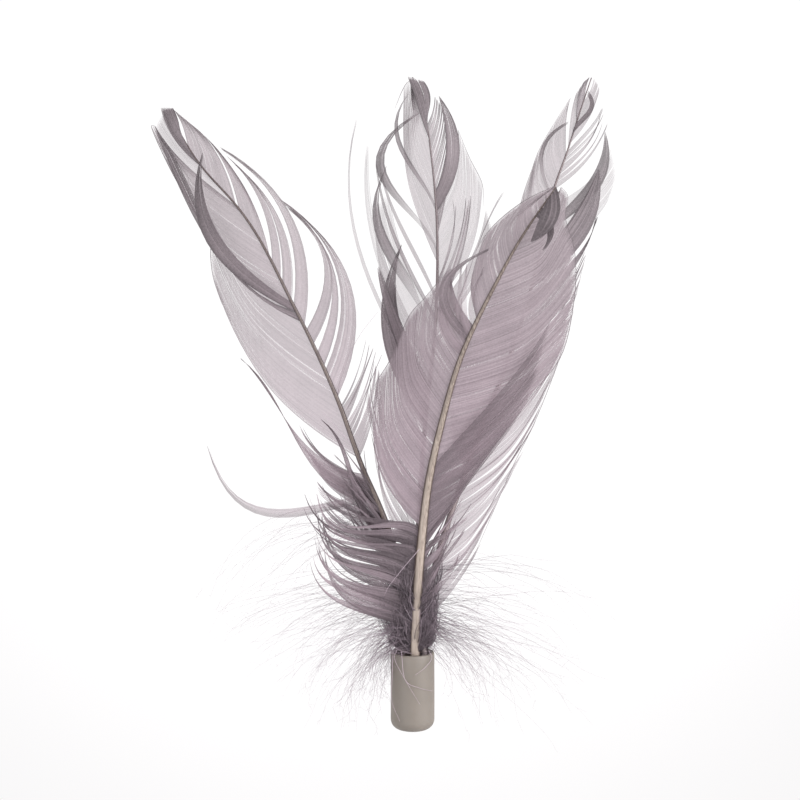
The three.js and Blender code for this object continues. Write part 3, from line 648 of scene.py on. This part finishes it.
def scraped_shaft_keratin(name, pale, edge):
    """Quill horn, degreased and dyed with the barbs: smooth, with long fibres, and with painted shade that
    darkens its sides.
    """
    quill = Recipe(name)
    tint, side = quill.numbers("tint", "side")
    # Horn fibres run along the shaft, a quarter of a millimetre apart.
    stretched = quill.add("Mapping", {"Vector": quill.place(), "Scale": (1.0, 0.04, 1.0)})
    fibres = quill.noise(stretched, 0.25, 2.0)
    # Painted shade: the shaft's flanks, as seen from above, blend towards the dark colour.
    edges = quill.maths("MULTIPLY", side, side)
    painted_side_shade = quill.add("MapRange", {
        "Value": edges, "From Min": 0.3, "From Max": 0.85,
    }, interpolation_type="SMOOTHSTEP")
    streaks = quill.maths("MULTIPLY_ADD", fibres, 1.3, -0.52)
    shade = quill.maths("ADD", painted_side_shade, streaks)
    total = quill.maths("ADD", shade, tint, use_clamp=True)
    return quill.finish(quill.add("BsdfPrincipled", {
        "Base Color": quill.blend(total, opaque(pale), opaque(edge)),
        "Normal": quill.add("Bump", {"Height": fibres, "Strength": 0.35, "Distance": 0.08 * MM}),
        "Roughness": 0.42, "IOR": 1.54,
    }))


def down_keratin(colour):
    """Down: the same dyed horn in threads too fine to see singly, which scatter light and look pale."""
    down = Recipe("down_keratin")
    tint, cover = down.numbers("tint", "cover")
    return down.finish(down.add("BsdfPrincipled", {
        "Base Color": down.blend(tint, opaque(colour, 0.15), opaque(colour, 1.3)),
        "Alpha": cover, "Roughness": 0.7, "IOR": 1.54, "Specular IOR Level": 0.2,
    }))


def dipped_soft_vinyl(colour):
    """Soft vinyl tube, dipped and matt: a faint orange peel, cloudy where plasticiser has come out."""
    vinyl = Recipe("dipped_soft_vinyl")
    place = vinyl.place()
    clouds = vinyl.noise(place, 5, 3.0)
    peel = vinyl.noise(place, 0.6, 2.0)
    return vinyl.finish(vinyl.add("BsdfPrincipled", {
        "Base Color": vinyl.blend(clouds, opaque(colour, 0.85), opaque(colour, 1.12)),
        "Roughness": vinyl.add("MapRange", {"Value": peel, "To Min": 0.42, "To Max": 0.6}),
        "Normal": vinyl.add("Bump", {"Height": peel, "Strength": 0.15, "Distance": 0.05 * MM}),
        "IOR": 1.53, "Subsurface Weight": 0.15, "Subsurface Radius": (2 * MM, 1.5 * MM, 1.2 * MM),
    }))


def opal_light_table(glow):
    """Opal acrylic, lit from below so that nothing on it throws a shadow, and dimmer far from its lamp."""
    glass = Recipe("opal_light_table")
    lamp = glass.add("VectorMath", {0: glass.place(), 1: (0.0, 0.04, 0.0)}, operation="DISTANCE")
    fade = glass.add("MapRange", {
        "Value": lamp.outputs["Value"], "From Min": 0.09, "From Max": 0.17,
        "To Min": glow, "To Max": 0.9 * glow,
    }, interpolation_type="SMOOTHSTEP")
    return glass.finish(glass.add("Emission", {"Color": (1, 0.99, 0.995, 1), "Strength": fade}))


def kept_material(make, *values):
    """The material that bears its maker's name, made if it isn't there yet."""
    return bpy.data.materials.get(make.__name__) or make(*values)


# ---- Vanes ----
BARB_STATIONS = 16
LEAST_BARBS = 5  # in a lock
# How many barbs cling together, fewest and most, and where along them they start to, lowest and highest.
CLUSTER = (5, 14), (0.1, 0.6)
COMBED_CLUSTER = (4, 11), (-0.3, 0.3)  # the same where the barbs have come apart
MOST_PULL = 0.9
RIDGE = 0.22  # height of a barb's ridge as a share of its width
LEAST_WIDTH = 0.07
BARB_FLOOR = 0.03  # the lowest that a barb lies
WHOLE = 0.96  # a lock with at least this cover has no gaps in its barbs
BARBS_PER_GAP = 8  # in the other locks
LEAST_KEPT = 0.25  # share of its width that a barb keeps in a gap
UNEVEN_END = 0.003  # share of its length by which a barb ends short or long
BROKEN_END, BROKEN_BARBS = 0.012, 0.05  # the same where a barb has lost its end, and how many have
RISE, RISE_BARBS = 0.04, 4  # millimetres that barbs lie over or under each other, over so many barbs
MARGIN_GUIDES = 4  # a lock with so many guides or more is a vane, with an even margin and a rim
SWEEP = 5.0  # millimetres that barb ends run along the margin, towards the feather's tip
RIM_STATIONS = 48
RIM_SIDES = 5
RIM_RADIUS = 0.07
RIM_TINT = 0.4

# Stretches of a barb, as shares of its length from the shaft.
LIFTED = (0.05, 0.5)
ROOT = (0.0, 0.5)
THIN_ROOT = (0.2, 0.65)
COMBED = (0.1, 0.7)
ALONG_MARGIN = (0.45, 1.0)
DARK_TIP = (0.45, 0.95)
POINT = (0.94, 1.0)

# Tints run from 0, the darkest, to 1, the palest. The others change a barb's own.
BARB_TINT = 0.6
DRIFT, DRIFT_BARBS = 0.035, 7  # slow changes along the shaft, over so many barbs
SCATTER = 0.1  # from one barb to the next
BANDS = 0.4  # from one cluster to the next, where the barbs have come apart
ROLLED = 0.3  # how much darker the barbs at a lock's two sides are, which are rolled under
LOWER_SHEET_SHADE = 0.3  # painted shade: how much darker a sheet of barbs is than the one above it, which shades it

# About how far a second sheet lies from the first, in millimetres.
RELAID_TIPS, RELAID_RISE, RELAID_BOWS = 0.7, 0.5, 1.1


def run_along_margin(paths, stations, reach):
    """Bends the outer part of each barb along the line of the tips, so that the margin is smooth."""
    tips = paths[:, -1]
    steps = np.linalg.norm(np.diff(tips, axis=0), axis=1)
    place = np.concatenate([[0], np.cumsum(steps)])
    moved = place[:, None] + reach * ease(*ALONG_MARGIN, stations)
    moved = np.minimum(moved, place[-1])
    slid = np.stack([np.interp(moved, place, tips[:, k]) for k in range(3)], axis=-1)
    return paths + (slid - tips[:, None]) * stations[:, None]


def barbs_of_lock(feather, side, guides, spacing, draw):
    """Paths (barb, station, xyz) of the barbs that fill a lock, and the stations' shares of the path."""
    guides = np.asarray(guides, float)
    ends = shaft_points(feather, guides[[0, -1], 0])
    count = max(LEAST_BARBS, int(round(np.linalg.norm(ends[1] - ends[0]) / spacing)))
    heights = np.linspace(guides[0, 0], guides[-1, 0], count)
    stations = np.linspace(0, 1, BARB_STATIONS) ** 0.9
    paths = guide_paths(feather, side, smooth_columns(heights, guides[:, 0], guides), stations)
    if len(guides) >= MARGIN_GUIDES:
        paths = run_along_margin(paths, stations, SWEEP)
    reach = draw.normal(0, UNEVEN_END, count) - BROKEN_END * (draw.random(count) < BROKEN_BARBS)
    paths += (paths - paths[:, :1]) * reach[:, None, None] * stations[:, None]
    paths[:, :, 2] += RISE * wander(count, RISE_BARBS, draw)[:, None] * ease(*LIFTED, stations)
    return paths, stations


def cluster(paths, stations, look, draw):
    """Draws neighbouring barbs together towards their tips, which opens slits between the clusters."""
    start, pull, band = 0, np.zeros(paths.shape[:2]), np.zeros(len(paths))
    sizes, onset = COMBED_CLUSTER if look.comb else CLUSTER
    while start < len(paths):
        end = min(len(paths), start + int(draw.integers(*sizes)))
        middle = paths[start:end].mean(axis=0, keepdims=True)
        most = min(look.pull * draw.uniform(0.2, 1.8), MOST_PULL)
        share = most * ease(draw.uniform(*onset), 1.0, stations)
        pull[start:end], band[start:end] = share, draw.normal()
        paths[start:end] += (middle - paths[start:end]) * share[:, None]
        thrown = look.toss * draw.normal(0, 1, (2, 3)) * (1, 1, 0.5)
        paths[start:end] += thrown[0] * (stations**2)[:, None]
        paths[start:end] += thrown[1] * (np.sin(math.pi * stations) * 0.6)[:, None]
        start = end
    return paths, pull, band


def parted(count, stations, draw):
    """Share of its width that each barb keeps. Here and there the barbules let go, and light shows."""
    barb, kept = np.arange(count)[:, None], np.ones((count, len(stations)))
    for _ in range(count // BARBS_PER_GAP):
        place, depth, middle = draw.uniform(0, count), draw.uniform(0.1, 0.7), draw.uniform(0.1, 1.1)
        away = (stations - middle) / draw.uniform(0.15, 0.6)
        kept -= depth * np.exp(-((barb - place) / 0.7) ** 2 - away**2)
    return np.clip(kept, LEAST_KEPT, 1)


def wander(count, reach, draw):
    """Random numbers that change smoothly from barb to barb, over about as many barbs as reach."""
    known = np.arange(0, count + 2 * reach, reach)
    return np.interp(np.arange(count), known, draw.normal(0, 1, len(known)))


def add_lock(sheaf, feather, side, guides, look, settings, draw):
    paths, stations = barbs_of_lock(feather, side, guides, settings.barb_spacing / MM, draw)
    count = len(paths)
    across = np.gradient(paths, axis=0)
    along = directions(paths)
    across -= along * np.sum(across * along, axis=-1, keepdims=True)
    paths, pull, band = cluster(paths, stations, look, draw)
    width = np.linalg.norm(across, axis=-1) * settings.barb_overlap * (1 - pull)
    if look.cover < WHOLE:
        width *= parted(count, stations, draw)
    width *= 1 - look.comb * ease(*COMBED, stations) * draw.uniform(0.3, 1.0, (count, 1))
    width = np.maximum(width, LEAST_WIDTH) * (1 - 0.7 * ease(*POINT, stations))
    sideways = unit(across)
    up = unit(np.cross(sideways, along))
    up *= np.where(up[..., 2:] < 0, -1, 1)
    half = 0.5 * width[..., None] * sideways
    points = np.stack([paths - half, paths + RIDGE * width[..., None] * up, paths + half], axis=2)
    raise_above(BARB_FLOOR, points)
    uvs = np.zeros((count, BARB_STATIONS, 3, 2))
    uvs[..., 0] = stations[:, None]
    uvs[..., 1] = sheaf.rows() + np.arange(count)[:, None, None] + np.array([0.02, 0.5, 0.98])
    cover = look.cover * (1 - look.root_thin * (1 - ease(*THIN_ROOT, stations))) + np.zeros((count, 1))
    edge = np.minimum(np.arange(count), np.arange(count)[::-1])
    tint = BARB_TINT - look.shade + DRIFT * wander(count, DRIFT_BARBS, draw)
    tint = tint + SCATTER * draw.normal(0, 1, count) + BANDS * look.comb * band
    tint = (tint - ROLLED * np.exp(-edge / 1.5))[:, None] - look.tip_shade * ease(*DARK_TIP, stations)
    tint = tint - look.root_shade * (1 - ease(*ROOT, stations))
    sheaf.add(
        points.reshape(-1, 3), strand_faces(count, BARB_STATIONS, 3, closed=False), uvs.reshape(-1, 2),
        cover=np.repeat(np.clip(cover, 0, 1), 3), tint=np.repeat(np.clip(tint, 0, 1), 3),
    )
    if len(guides) >= MARGIN_GUIDES:
        add_rim(sheaf, guides, look)


def add_rim(sheaf, guides, look):
    """The rolled margin of a vane, a dark line round the barbs' ends."""
    guides = np.asarray(guides, float)
    heights = np.linspace(guides[0, 0], guides[-1, 0], RIM_STATIONS)
    path = smooth_columns(heights, guides[:, 0], guides[:, 1:4])[None]
    radii = RIM_RADIUS * (0.3 + 0.7 * np.sin(math.pi * np.linspace(0, 1, RIM_STATIONS)))[None]
    raise_above(RIM_RADIUS, path)
    tint, cover = RIM_TINT - look.tip_shade + 0 * radii, look.cover + 0 * radii
    add_tubes(sheaf, path, radii, RIM_SIDES, tint=tint, cover=cover)


def relaid(guides, draw):
    """The guides of a second sheet of the same lock: other bows, other tips, and a little higher."""
    moved = np.array(guides, float)
    moved[:, 1:3] += draw.normal(0, RELAID_TIPS, 2)
    moved[:, 3] += RELAID_RISE
    moved[:, 4:6] += draw.normal(0, RELAID_BOWS, 2)
    return moved


def build_vane(feather, settings, draw):
    sheaf = Sheaf()
    for side_name, side in SIDES.items():
        for name, guides in LOCKS[f"{feather} {side_name}"].items():
            look = LOOKS.get(f"{feather} {name}", LOOKS[feather])
            for layer in range(look.layers):
                laid = relaid(guides, draw) if layer else guides
                # Painted shade: each sheet is darker than the sheets laid over it.
                shaded = look._replace(shade=look.shade + LOWER_SHEET_SHADE * (look.layers - 1 - layer))
                add_lock(sheaf, feather, side, laid, shaded, settings, draw)
    colours = tuple(settings.vane_colour), tuple(settings.tip_colour)
    material = kept_material(dyed_barb_keratin, *colours)
    slot = "front_vane" if feather == "front" else "pale_vane"
    return sheaf.piece(f"{feather}_vane", material, slot, f"quill_feather_{feather}")


# ---- Shafts ----
SHAFT_STATIONS = 90
SHAFT_SIDES = 20
SHAFT_TIP_TINT = 0.8  # how much of the sides' dark colour the tip has
SHAFT_COLOURS = {  # along the middle, and the dark colour painted at the sides as shade, which the tip has too
    "front": ("#AC9D92", "#4E413C"),
    "left": ("#74665F", "#45383A"),
    "middle": ("#857779", "#5A4D50"),
    "right": ("#8F8182", "#5E5052"),
}


def build_shaft(feather):
    heights = np.linspace(LINES[feather][0][1], LINES[feather][-1][1], SHAFT_STATIONS)
    share = np.linspace(0, 1, SHAFT_STATIONS)
    radii = smooth(share, [0, 1 / 3, 1], RADII[feather])
    tint = SHAFT_TIP_TINT * share[None] ** 1.3
    sheaf = Sheaf()
    add_tubes(sheaf, shaft_points(feather, heights)[None], radii[None], SHAFT_SIDES, tint=tint)
    pale, edge = SHAFT_COLOURS[feather]
    material = scraped_shaft_keratin(f"{feather}_shaft_keratin", linear(pale), linear(edge))
    return sheaf.piece(f"{feather}_shaft", material, "shaft", f"quill_feather_{feather}")


# ---- Down ----
STRAND_STATIONS = 14
BARBULES = 4
AFTERFEATHER_BARBULES = 3
HAIR_SIDES = 3
BARBULE_FLOOR, STRAND_FLOOR, TIP_FLOOR = 0.1, 0.2, 0.4  # lowest for barbules, strands and tufts' tips
LOWEST_FOOT = 17.6  # of a strand, just above the sleeve's mouth
# How the strands of a tuft differ from its guide.
TUFT_FOOT = (-3, 4.5)  # millimetres down and up the shaft
TUFT_LENGTH = (0.3, 0.95)  # the least share of its length, and how much is added to it at most
TUFT_TIP = (3.2, 3.8, 1.5)  # scatter along x, y and z
TUFT_BOW, TUFT_BEND = (0.5, 1.4), 1.2  # shares of the bow, and scatter of it
# Radii of the hairs, thinnest and thickest, and of a barbule from foot to end.
STRAND_RADIUS, AFTERFEATHER_RADIUS, STRAY_RADIUS = (0.03, 0.055), (0.08, 0.17), 0.07
BARBULE_RADII = (0.02, 0.016, 0.008)
BARBULE_LENGTH = (0.8, 4.0)
LIT = 1 / 14  # share of the afterfeather that lies on top
# Soft barbs at the foot of each vane, which stand up close to the shaft: how many there are, the
# lowest and highest foot, the reach up the shaft and the reach sideways.
AFTERFEATHER = {
    "front": (330, 17, 30, 11, 4.4), "left": (340, 17, 38, 12, 5),
    "middle": (260, 17, 30, 12, 3.4), "right": (300, 17, 30, 11, 2.6),
}
# Share of its strands that each feather's tufts have kept.
FULLNESS = {"front": 0.5, "left": 0.95, "middle": 0.5, "right": 0.45}
# Single hairs that have worked loose, as points on their paths.
STRAYS = {
    "front": [
        [(1.5, 41.5, 11), (-2.2, 37.4, 12.5), (-5.4, 33.3, 12.5), (-6.2, 31.5, 12)],
        [(-3.6, 18.5, 9), (-4, 16.5, 9.2), (-1.5, 12, 10.4), (1.6, 6.8, 10.3)],
        [(-2.5, 18.5, 10), (-1.7, 12.3, 10.4), (1.5, 10.5, 10.4), (4.5, 9.2, 8)],
        [(3.6, 18.5, 9), (4.3, 16.7, 8.6), (2.6, 14.8, 10), (0.5, 13.4, 10.5)],
        [(-4.4, 18, 8.4), (-4.6, 12, 8.3), (-4.7, 7, 8), (-2.9, 3, 10)],
    ],
    "left": [
        [(-12.8, 63.7, 7), (-16, 67, 7.6), (-18.6, 70, 7.4), (-20.4, 71.8, 7)],
        [(-17, 75, 8), (-15.5, 82, 8), (-12, 89, 7.5), (-7.8, 94.5, 7)],
    ],
    "middle": [],
    "right": [],
}


def add_strands(sheaf, paths, thick, tint, cover, draw, barbules=BARBULES):
    """Thin tubes along paths, each set with barbules."""
    add_tubes(sheaf, paths, thick, HAIR_SIDES, tint=tint, cover=cover + 0 * thick)
    if barbules:
        add_barbules(sheaf, paths, barbules, draw)


def wavy(paths, stations, size, draw):
    """Adds a few soft waves to paths, wider towards their ends."""
    count = len(paths)
    phase, turns = draw.uniform(0, 2 * math.pi, (count, 1, 3)), draw.uniform(0.6, 2.6, (count, 1, 3))
    wave = np.sin(phase + turns * 2 * math.pi * stations[:, None]) - np.sin(phase)
    paths += wave * (size * stations**1.2)[:, None] * draw.uniform(0.3, 1.3, (count, 1, 1))
    raise_above(STRAND_FLOOR, paths)
    return paths


def add_tuft(sheaf, feather, side, guide, strands, draw):
    """A tuft: strands that fan out round one path, each set with short barbules."""
    guide = np.asarray(guide, float)
    strands = int(strands * FULLNESS[feather])
    rows = np.repeat(guide[None], strands, axis=0)
    reach = TUFT_LENGTH[0] + TUFT_LENGTH[1] * draw.random(strands)
    foot = shaft_points(feather, guide[:1])[0]
    rows[:, 0] = np.maximum(rows[:, 0] + draw.uniform(*TUFT_FOOT, strands), LOWEST_FOOT)
    for k in (0, 1):
        rows[:, k + 1] = foot[k] + (guide[k + 1] - foot[k]) * reach + draw.normal(0, TUFT_TIP[k], strands)
    rows[:, 3] = np.maximum(guide[3] + draw.normal(0, TUFT_TIP[2], strands), TIP_FLOOR)
    rows[:, 4:6] *= reach[:, None] * draw.uniform(*TUFT_BOW, (strands, 1))
    rows[:, 4:6] += draw.normal(0, TUFT_BEND, (strands, 2))
    stations = np.linspace(0, 1, STRAND_STATIONS)
    paths = wavy(guide_paths(feather, side, rows, stations), stations, 1.0, draw)
    thick = draw.uniform(*STRAND_RADIUS, (strands, 1)) * (1 - 0.72 * stations)
    tint = draw.uniform(0.1, 0.5, (strands, 1)) + 0.5 * stations
    add_strands(sheaf, paths, thick, tint, 0.8 - 0.25 * stations, draw)


def add_barbules(sheaf, paths, barbules, draw):
    """Short hairs that stand off each path at places of their own."""
    strands, stations = paths.shape[:2]
    along = directions(paths)
    spot = np.sort(draw.uniform(0.08, 1.0, (strands, barbules)), axis=1) * (stations - 1.001)
    k = spot.astype(int)
    rest = (spot - k)[..., None]
    s = np.arange(strands)[:, None]
    start = paths[s, k] * (1 - rest) + paths[s, k + 1] * rest
    way = unit(along[s, k] * 1.2 + draw.normal(0, 0.7, start.shape))
    length = draw.uniform(*BARBULE_LENGTH, start.shape[:2])[..., None]
    bend = draw.normal(0, 0.2, start.shape) * length
    hairs = np.stack([start, start + way * length * 0.5 + bend, start + way * length], axis=2)
    hairs = hairs.reshape(-1, 3, 3)
    raise_above(BARBULE_FLOOR, hairs)
    thick = np.tile(BARBULE_RADII, (len(hairs), 1))
    tint = draw.uniform(0.5, 1.0, (len(hairs), 1)) + np.zeros((1, 3))
    add_tubes(sheaf, hairs, thick, HAIR_SIDES, tint=tint, cover=0.55 + 0 * thick)


def add_afterfeather(sheaf, feather, draw):
    """The dense soft barbs low on the shaft, which stand up and cross each other."""
    count, lowest, highest, up, out = AFTERFEATHER[feather]
    stations = np.linspace(0, 1, STRAND_STATIONS)
    heights = lowest + (highest - lowest) * draw.random(count) ** 1.6
    foot = shaft_points(feather, heights)
    side = np.where(draw.random(count) < 0.5, -1, 1)
    tip = foot + np.stack([
        side * out * draw.uniform(0.15, 1.1, count), up * draw.uniform(0.35, 1.1, count),
        draw.normal(0.3, 1.6, count),
    ], axis=-1)
    bulge = np.stack([
        side * draw.uniform(0.2, 2.2, count), 0 * side, draw.normal(0.3, 0.8, count),
    ], axis=-1)
    t = stations[:, None]
    foot, tip, bulge = foot[:, None], tip[:, None], bulge[:, None]
    paths = wavy(foot + (tip - foot) * t + bulge * 4 * t * (1 - t), stations, 0.3, draw)
    thick = draw.uniform(*AFTERFEATHER_RADIUS, (count, 1)) * (1 - 0.8 * stations)
    # Painted shade: most are dark, as though deep in the bunch. Painted highlight: the few on top are
    # thinner and paler, as though they catch the light.
    lit = draw.random((count, 1)) < LIT
    tint = 0.3 * draw.random((count, 1)) ** 3 + 0.5 * lit + 0.06 * stations
    paths[..., 2] += 1.2 * lit * stations
    add_strands(sheaf, paths, np.where(lit, 0.6, 1) * thick, tint, 0.95, draw, AFTERFEATHER_BARBULES)


def add_strays(sheaf, feather, draw):
    stations = np.linspace(0, 1, STRAND_STATIONS)
    thick = STRAY_RADIUS * (1 - 0.6 * stations)[None]
    for points in STRAYS[feather]:
        path = smooth_columns(stations, np.linspace(0, 1, len(points)), points)[None]
        add_strands(sheaf, path, thick, 1.0 + 0 * thick, 1.0, draw, barbules=0)


def build_down(feather, settings, draw):
    sheaf = Sheaf()
    add_afterfeather(sheaf, feather, draw)
    for side_name, side in SIDES.items():
        for guide in TUFTS[f"{feather} {side_name}"]:
            add_tuft(sheaf, feather, side, guide, settings.strands_per_tuft, draw)
    add_strays(sheaf, feather, draw)
    material = kept_material(down_keratin, tuple(settings.down_colour))
    return sheaf.piece(f"{feather}_down", material, "down", f"quill_feather_{feather}")


# ---- Sleeve ----
SLEEVE_SIDES = 96
SLEEVE_CORNER = 2.2 * MM  # rounding of the closed end
CORNER_RINGS, WALL_RINGS, LIP_RINGS = 8, 14, 9
WORN = 0.006  # how far the tube is out of round, as a share of its radius


def sleeve_profile(settings):
    """Radius and height pairs, up the outside, round the lip and down into the bore, in metres."""
    radius = (SLEEVE_HIGH.x - SLEEVE_LOW.x) / 2
    length = SLEEVE_HIGH.y - SLEEVE_LOW.y
    corner, lip, bottom = SLEEVE_CORNER, settings.wall / 2, settings.closed_end
    outer_end = [
        (radius - corner + corner * math.sin(a), corner - corner * math.cos(a))
        for a in np.linspace(0, math.pi / 2, CORNER_RINGS)
    ]
    wall = [(radius, y) for y in np.linspace(corner, length - lip, WALL_RINGS)[1:-1]]
    rim = [
        (radius - lip + lip * math.cos(a), length - lip + lip * math.sin(a))
        for a in np.linspace(0, math.pi, LIP_RINGS)
    ]
    return [(0.0, 0.0), *outer_end, *wall, *rim, (radius - settings.wall, bottom), (0.0, bottom)]


def build_sleeve(settings):
    profile = sleeve_profile(settings)
    centre_x, centre_z = (SLEEVE_LOW.x + SLEEVE_HIGH.x) / 2, (SLEEVE_LOW.z + SLEEVE_HIGH.z) / 2
    points, faces, rows = [], [], []
    for r, y in profile:
        if r == 0:
            rows.append([len(points)])
            points.append((centre_x, SLEEVE_LOW.y + y, centre_z))
            continue
        rows.append(list(range(len(points), len(points) + SLEEVE_SIDES)))
        for k in range(SLEEVE_SIDES):
            a = 2 * math.pi * k / SLEEVE_SIDES
            out = r * (1 + WORN * math.sin(3 * a + 1.3) * math.sin(y / (5 * MM)))
            points.append((centre_x + out * math.cos(a), SLEEVE_LOW.y + y, centre_z + out * math.sin(a)))
    for low, high in zip(rows, rows[1:]):
        for k in range(SLEEVE_SIDES):
            near = [row[k % len(row)] for row in (low, high)]
            far = [row[(k + 1) % len(row)] for row in (high, low)]
            faces.append(list(dict.fromkeys(near + far)))  # a triangle where a row is a single point
    mesh = bpy.data.meshes.new("soft_sleeve")
    mesh.from_pydata(points, [], faces)
    mesh.shade_smooth()
    mesh.materials.append(dipped_soft_vinyl(tuple(settings.colour)))
    return dress(bpy.data.objects.new("soft_sleeve", mesh), "sleeve", "sleeve")


# ---- Stage ----
TABLE_SIZE = 3.0
TABLE_GAP = 0.3 * MM
LENS, SENSOR = 50.0, 36.0  # millimetres
NEAREST = 0.01  # that the camera sees
CAMERA_X, CAMERA_Y = -2.841 * MM, 74.55 * MM  # from the foot of the bunch
SOFT_BOXES = (  # name, place, size and watts
    ("soft_box_right", (0.42, 0.1, 0.3), 0.35, 3.4),
    ("soft_box_left", (-0.4, -0.1, 0.5), 0.4, 1.2),
)
ROOM_LIGHT = 0.95
SEEN_THROUGH = 64  # gaps between barbs that light may pass one after the other


def build_stage(settings):
    scene = bpy.context.scene
    bpy.ops.mesh.primitive_plane_add(size=TABLE_SIZE, location=(0, 0, -TABLE_GAP))
    table = bpy.context.object
    table.name = "light_table"
    table.data.materials.append(opal_light_table(settings.glow))

    camera = bpy.data.objects.new("camera", bpy.data.cameras.new("camera"))
    camera.data.lens = LENS
    camera.data.sensor_width = SENSOR
    camera.data.clip_start = NEAREST
    camera.location = (FOOT[0] + CAMERA_X, FOOT[1] + CAMERA_Y, settings.camera_height)
    scene.collection.objects.link(camera)
    scene.camera = camera

    for name, place, size, power in SOFT_BOXES:
        lamp = bpy.data.objects.new(name, bpy.data.lights.new(name, "AREA"))
        lamp.data.size = size
        lamp.data.energy = power
        lamp.location = place
        lamp.rotation_euler = (-lamp.location).to_track_quat("-Z", "Y").to_euler()
        scene.collection.objects.link(lamp)

    world = bpy.data.worlds.new("white_room")
    world.use_nodes = True
    background = world.node_tree.nodes["Background"].inputs
    background["Color"].default_value = (1, 1, 1, 1)
    background["Strength"].default_value = ROOM_LIGHT
    scene.world = world
    scene.view_settings.view_transform = "Standard"
    scene.cycles.transparent_max_bounces = SEEN_THROUGH


# ---- Operators ----
SEEDS = {"front": 11, "left": 23, "middle": 37, "right": 53}


class FeatherOperator:
    """What the operators of the four feathers share."""

    def execute(self, context):
        feather, settings = self.feather, context.scene.feather_settings
        draw = np.random.default_rng(SEEDS[feather])
        build_shaft(feather)
        build_vane(feather, settings, draw)
        build_down(feather, settings, draw)
        return {"FINISHED"}


class FEATHERS_OT_front(FeatherOperator, bpy.types.Operator):
    """Build the curved feather that stands up off the others"""

    bl_idname = "feathers.front"
    bl_label = "Front feather"
    feather = "front"


class FEATHERS_OT_left(FeatherOperator, bpy.types.Operator):
    """Build the slit feather that leans left"""

    bl_idname = "feathers.left"
    bl_label = "Left feather"
    feather = "left"


class FEATHERS_OT_middle(FeatherOperator, bpy.types.Operator):
    """Build the sparse feather in the middle"""

    bl_idname = "feathers.middle"
    bl_label = "Middle feather"
    feather = "middle"


class FEATHERS_OT_right(FeatherOperator, bpy.types.Operator):
    """Build the feather behind, that leans right"""

    bl_idname = "feathers.right"
    bl_label = "Right feather"
    feather = "right"


class FEATHERS_OT_sleeve(bpy.types.Operator):
    """Build the soft sleeve that holds the quill ends"""

    bl_idname = "feathers.sleeve"
    bl_label = "Sleeve"

    def execute(self, context):
        build_sleeve(context.scene.sleeve_settings)
        return {"FINISHED"}


class FEATHERS_OT_stage(bpy.types.Operator):
    """Set up the light table, the lamps and the camera"""

    bl_idname = "feathers.stage"
    bl_label = "Stage"

    def execute(self, context):
        build_stage(context.scene.stage_settings)
        return {"FINISHED"}


OPERATORS = (
    FEATHERS_OT_stage, FEATHERS_OT_sleeve,
    FEATHERS_OT_right, FEATHERS_OT_middle, FEATHERS_OT_left, FEATHERS_OT_front,
)
SETTINGS = {
    "feather_settings": FeatherSettings, "sleeve_settings": SleeveSettings, "stage_settings": StageSettings,
}


class FEATHERS_PT_panel(bpy.types.Panel):
    """Lists the pieces of the bunch with their settings"""

    bl_idname = "FEATHERS_PT_panel"
    bl_label = "Feather bunch"
    bl_space_type = "VIEW_3D"
    bl_region_type = "UI"
    bl_category = "Feathers"

    def draw(self, context):
        for operator in OPERATORS:
            self.layout.operator(operator.bl_idname)
        for name, group in SETTINGS.items():
            for key in group.__annotations__:
                self.layout.prop(getattr(context.scene, name), key)


def register():
    for made in (*SETTINGS.values(), *OPERATORS, FEATHERS_PT_panel):
        bpy.utils.register_class(made)
    for name, group in SETTINGS.items():
        setattr(bpy.types.Scene, name, PointerProperty(type=group))


def unregister():
    for name in SETTINGS:
        delattr(bpy.types.Scene, name)
    for made in reversed((*SETTINGS.values(), *OPERATORS, FEATHERS_PT_panel)):
        bpy.utils.unregister_class(made)


def main():
    register()
    for operator in OPERATORS:
        group, name = operator.bl_idname.split(".")
        getattr(getattr(bpy.ops, group), name)()


if __name__ == "__main__":
    main()
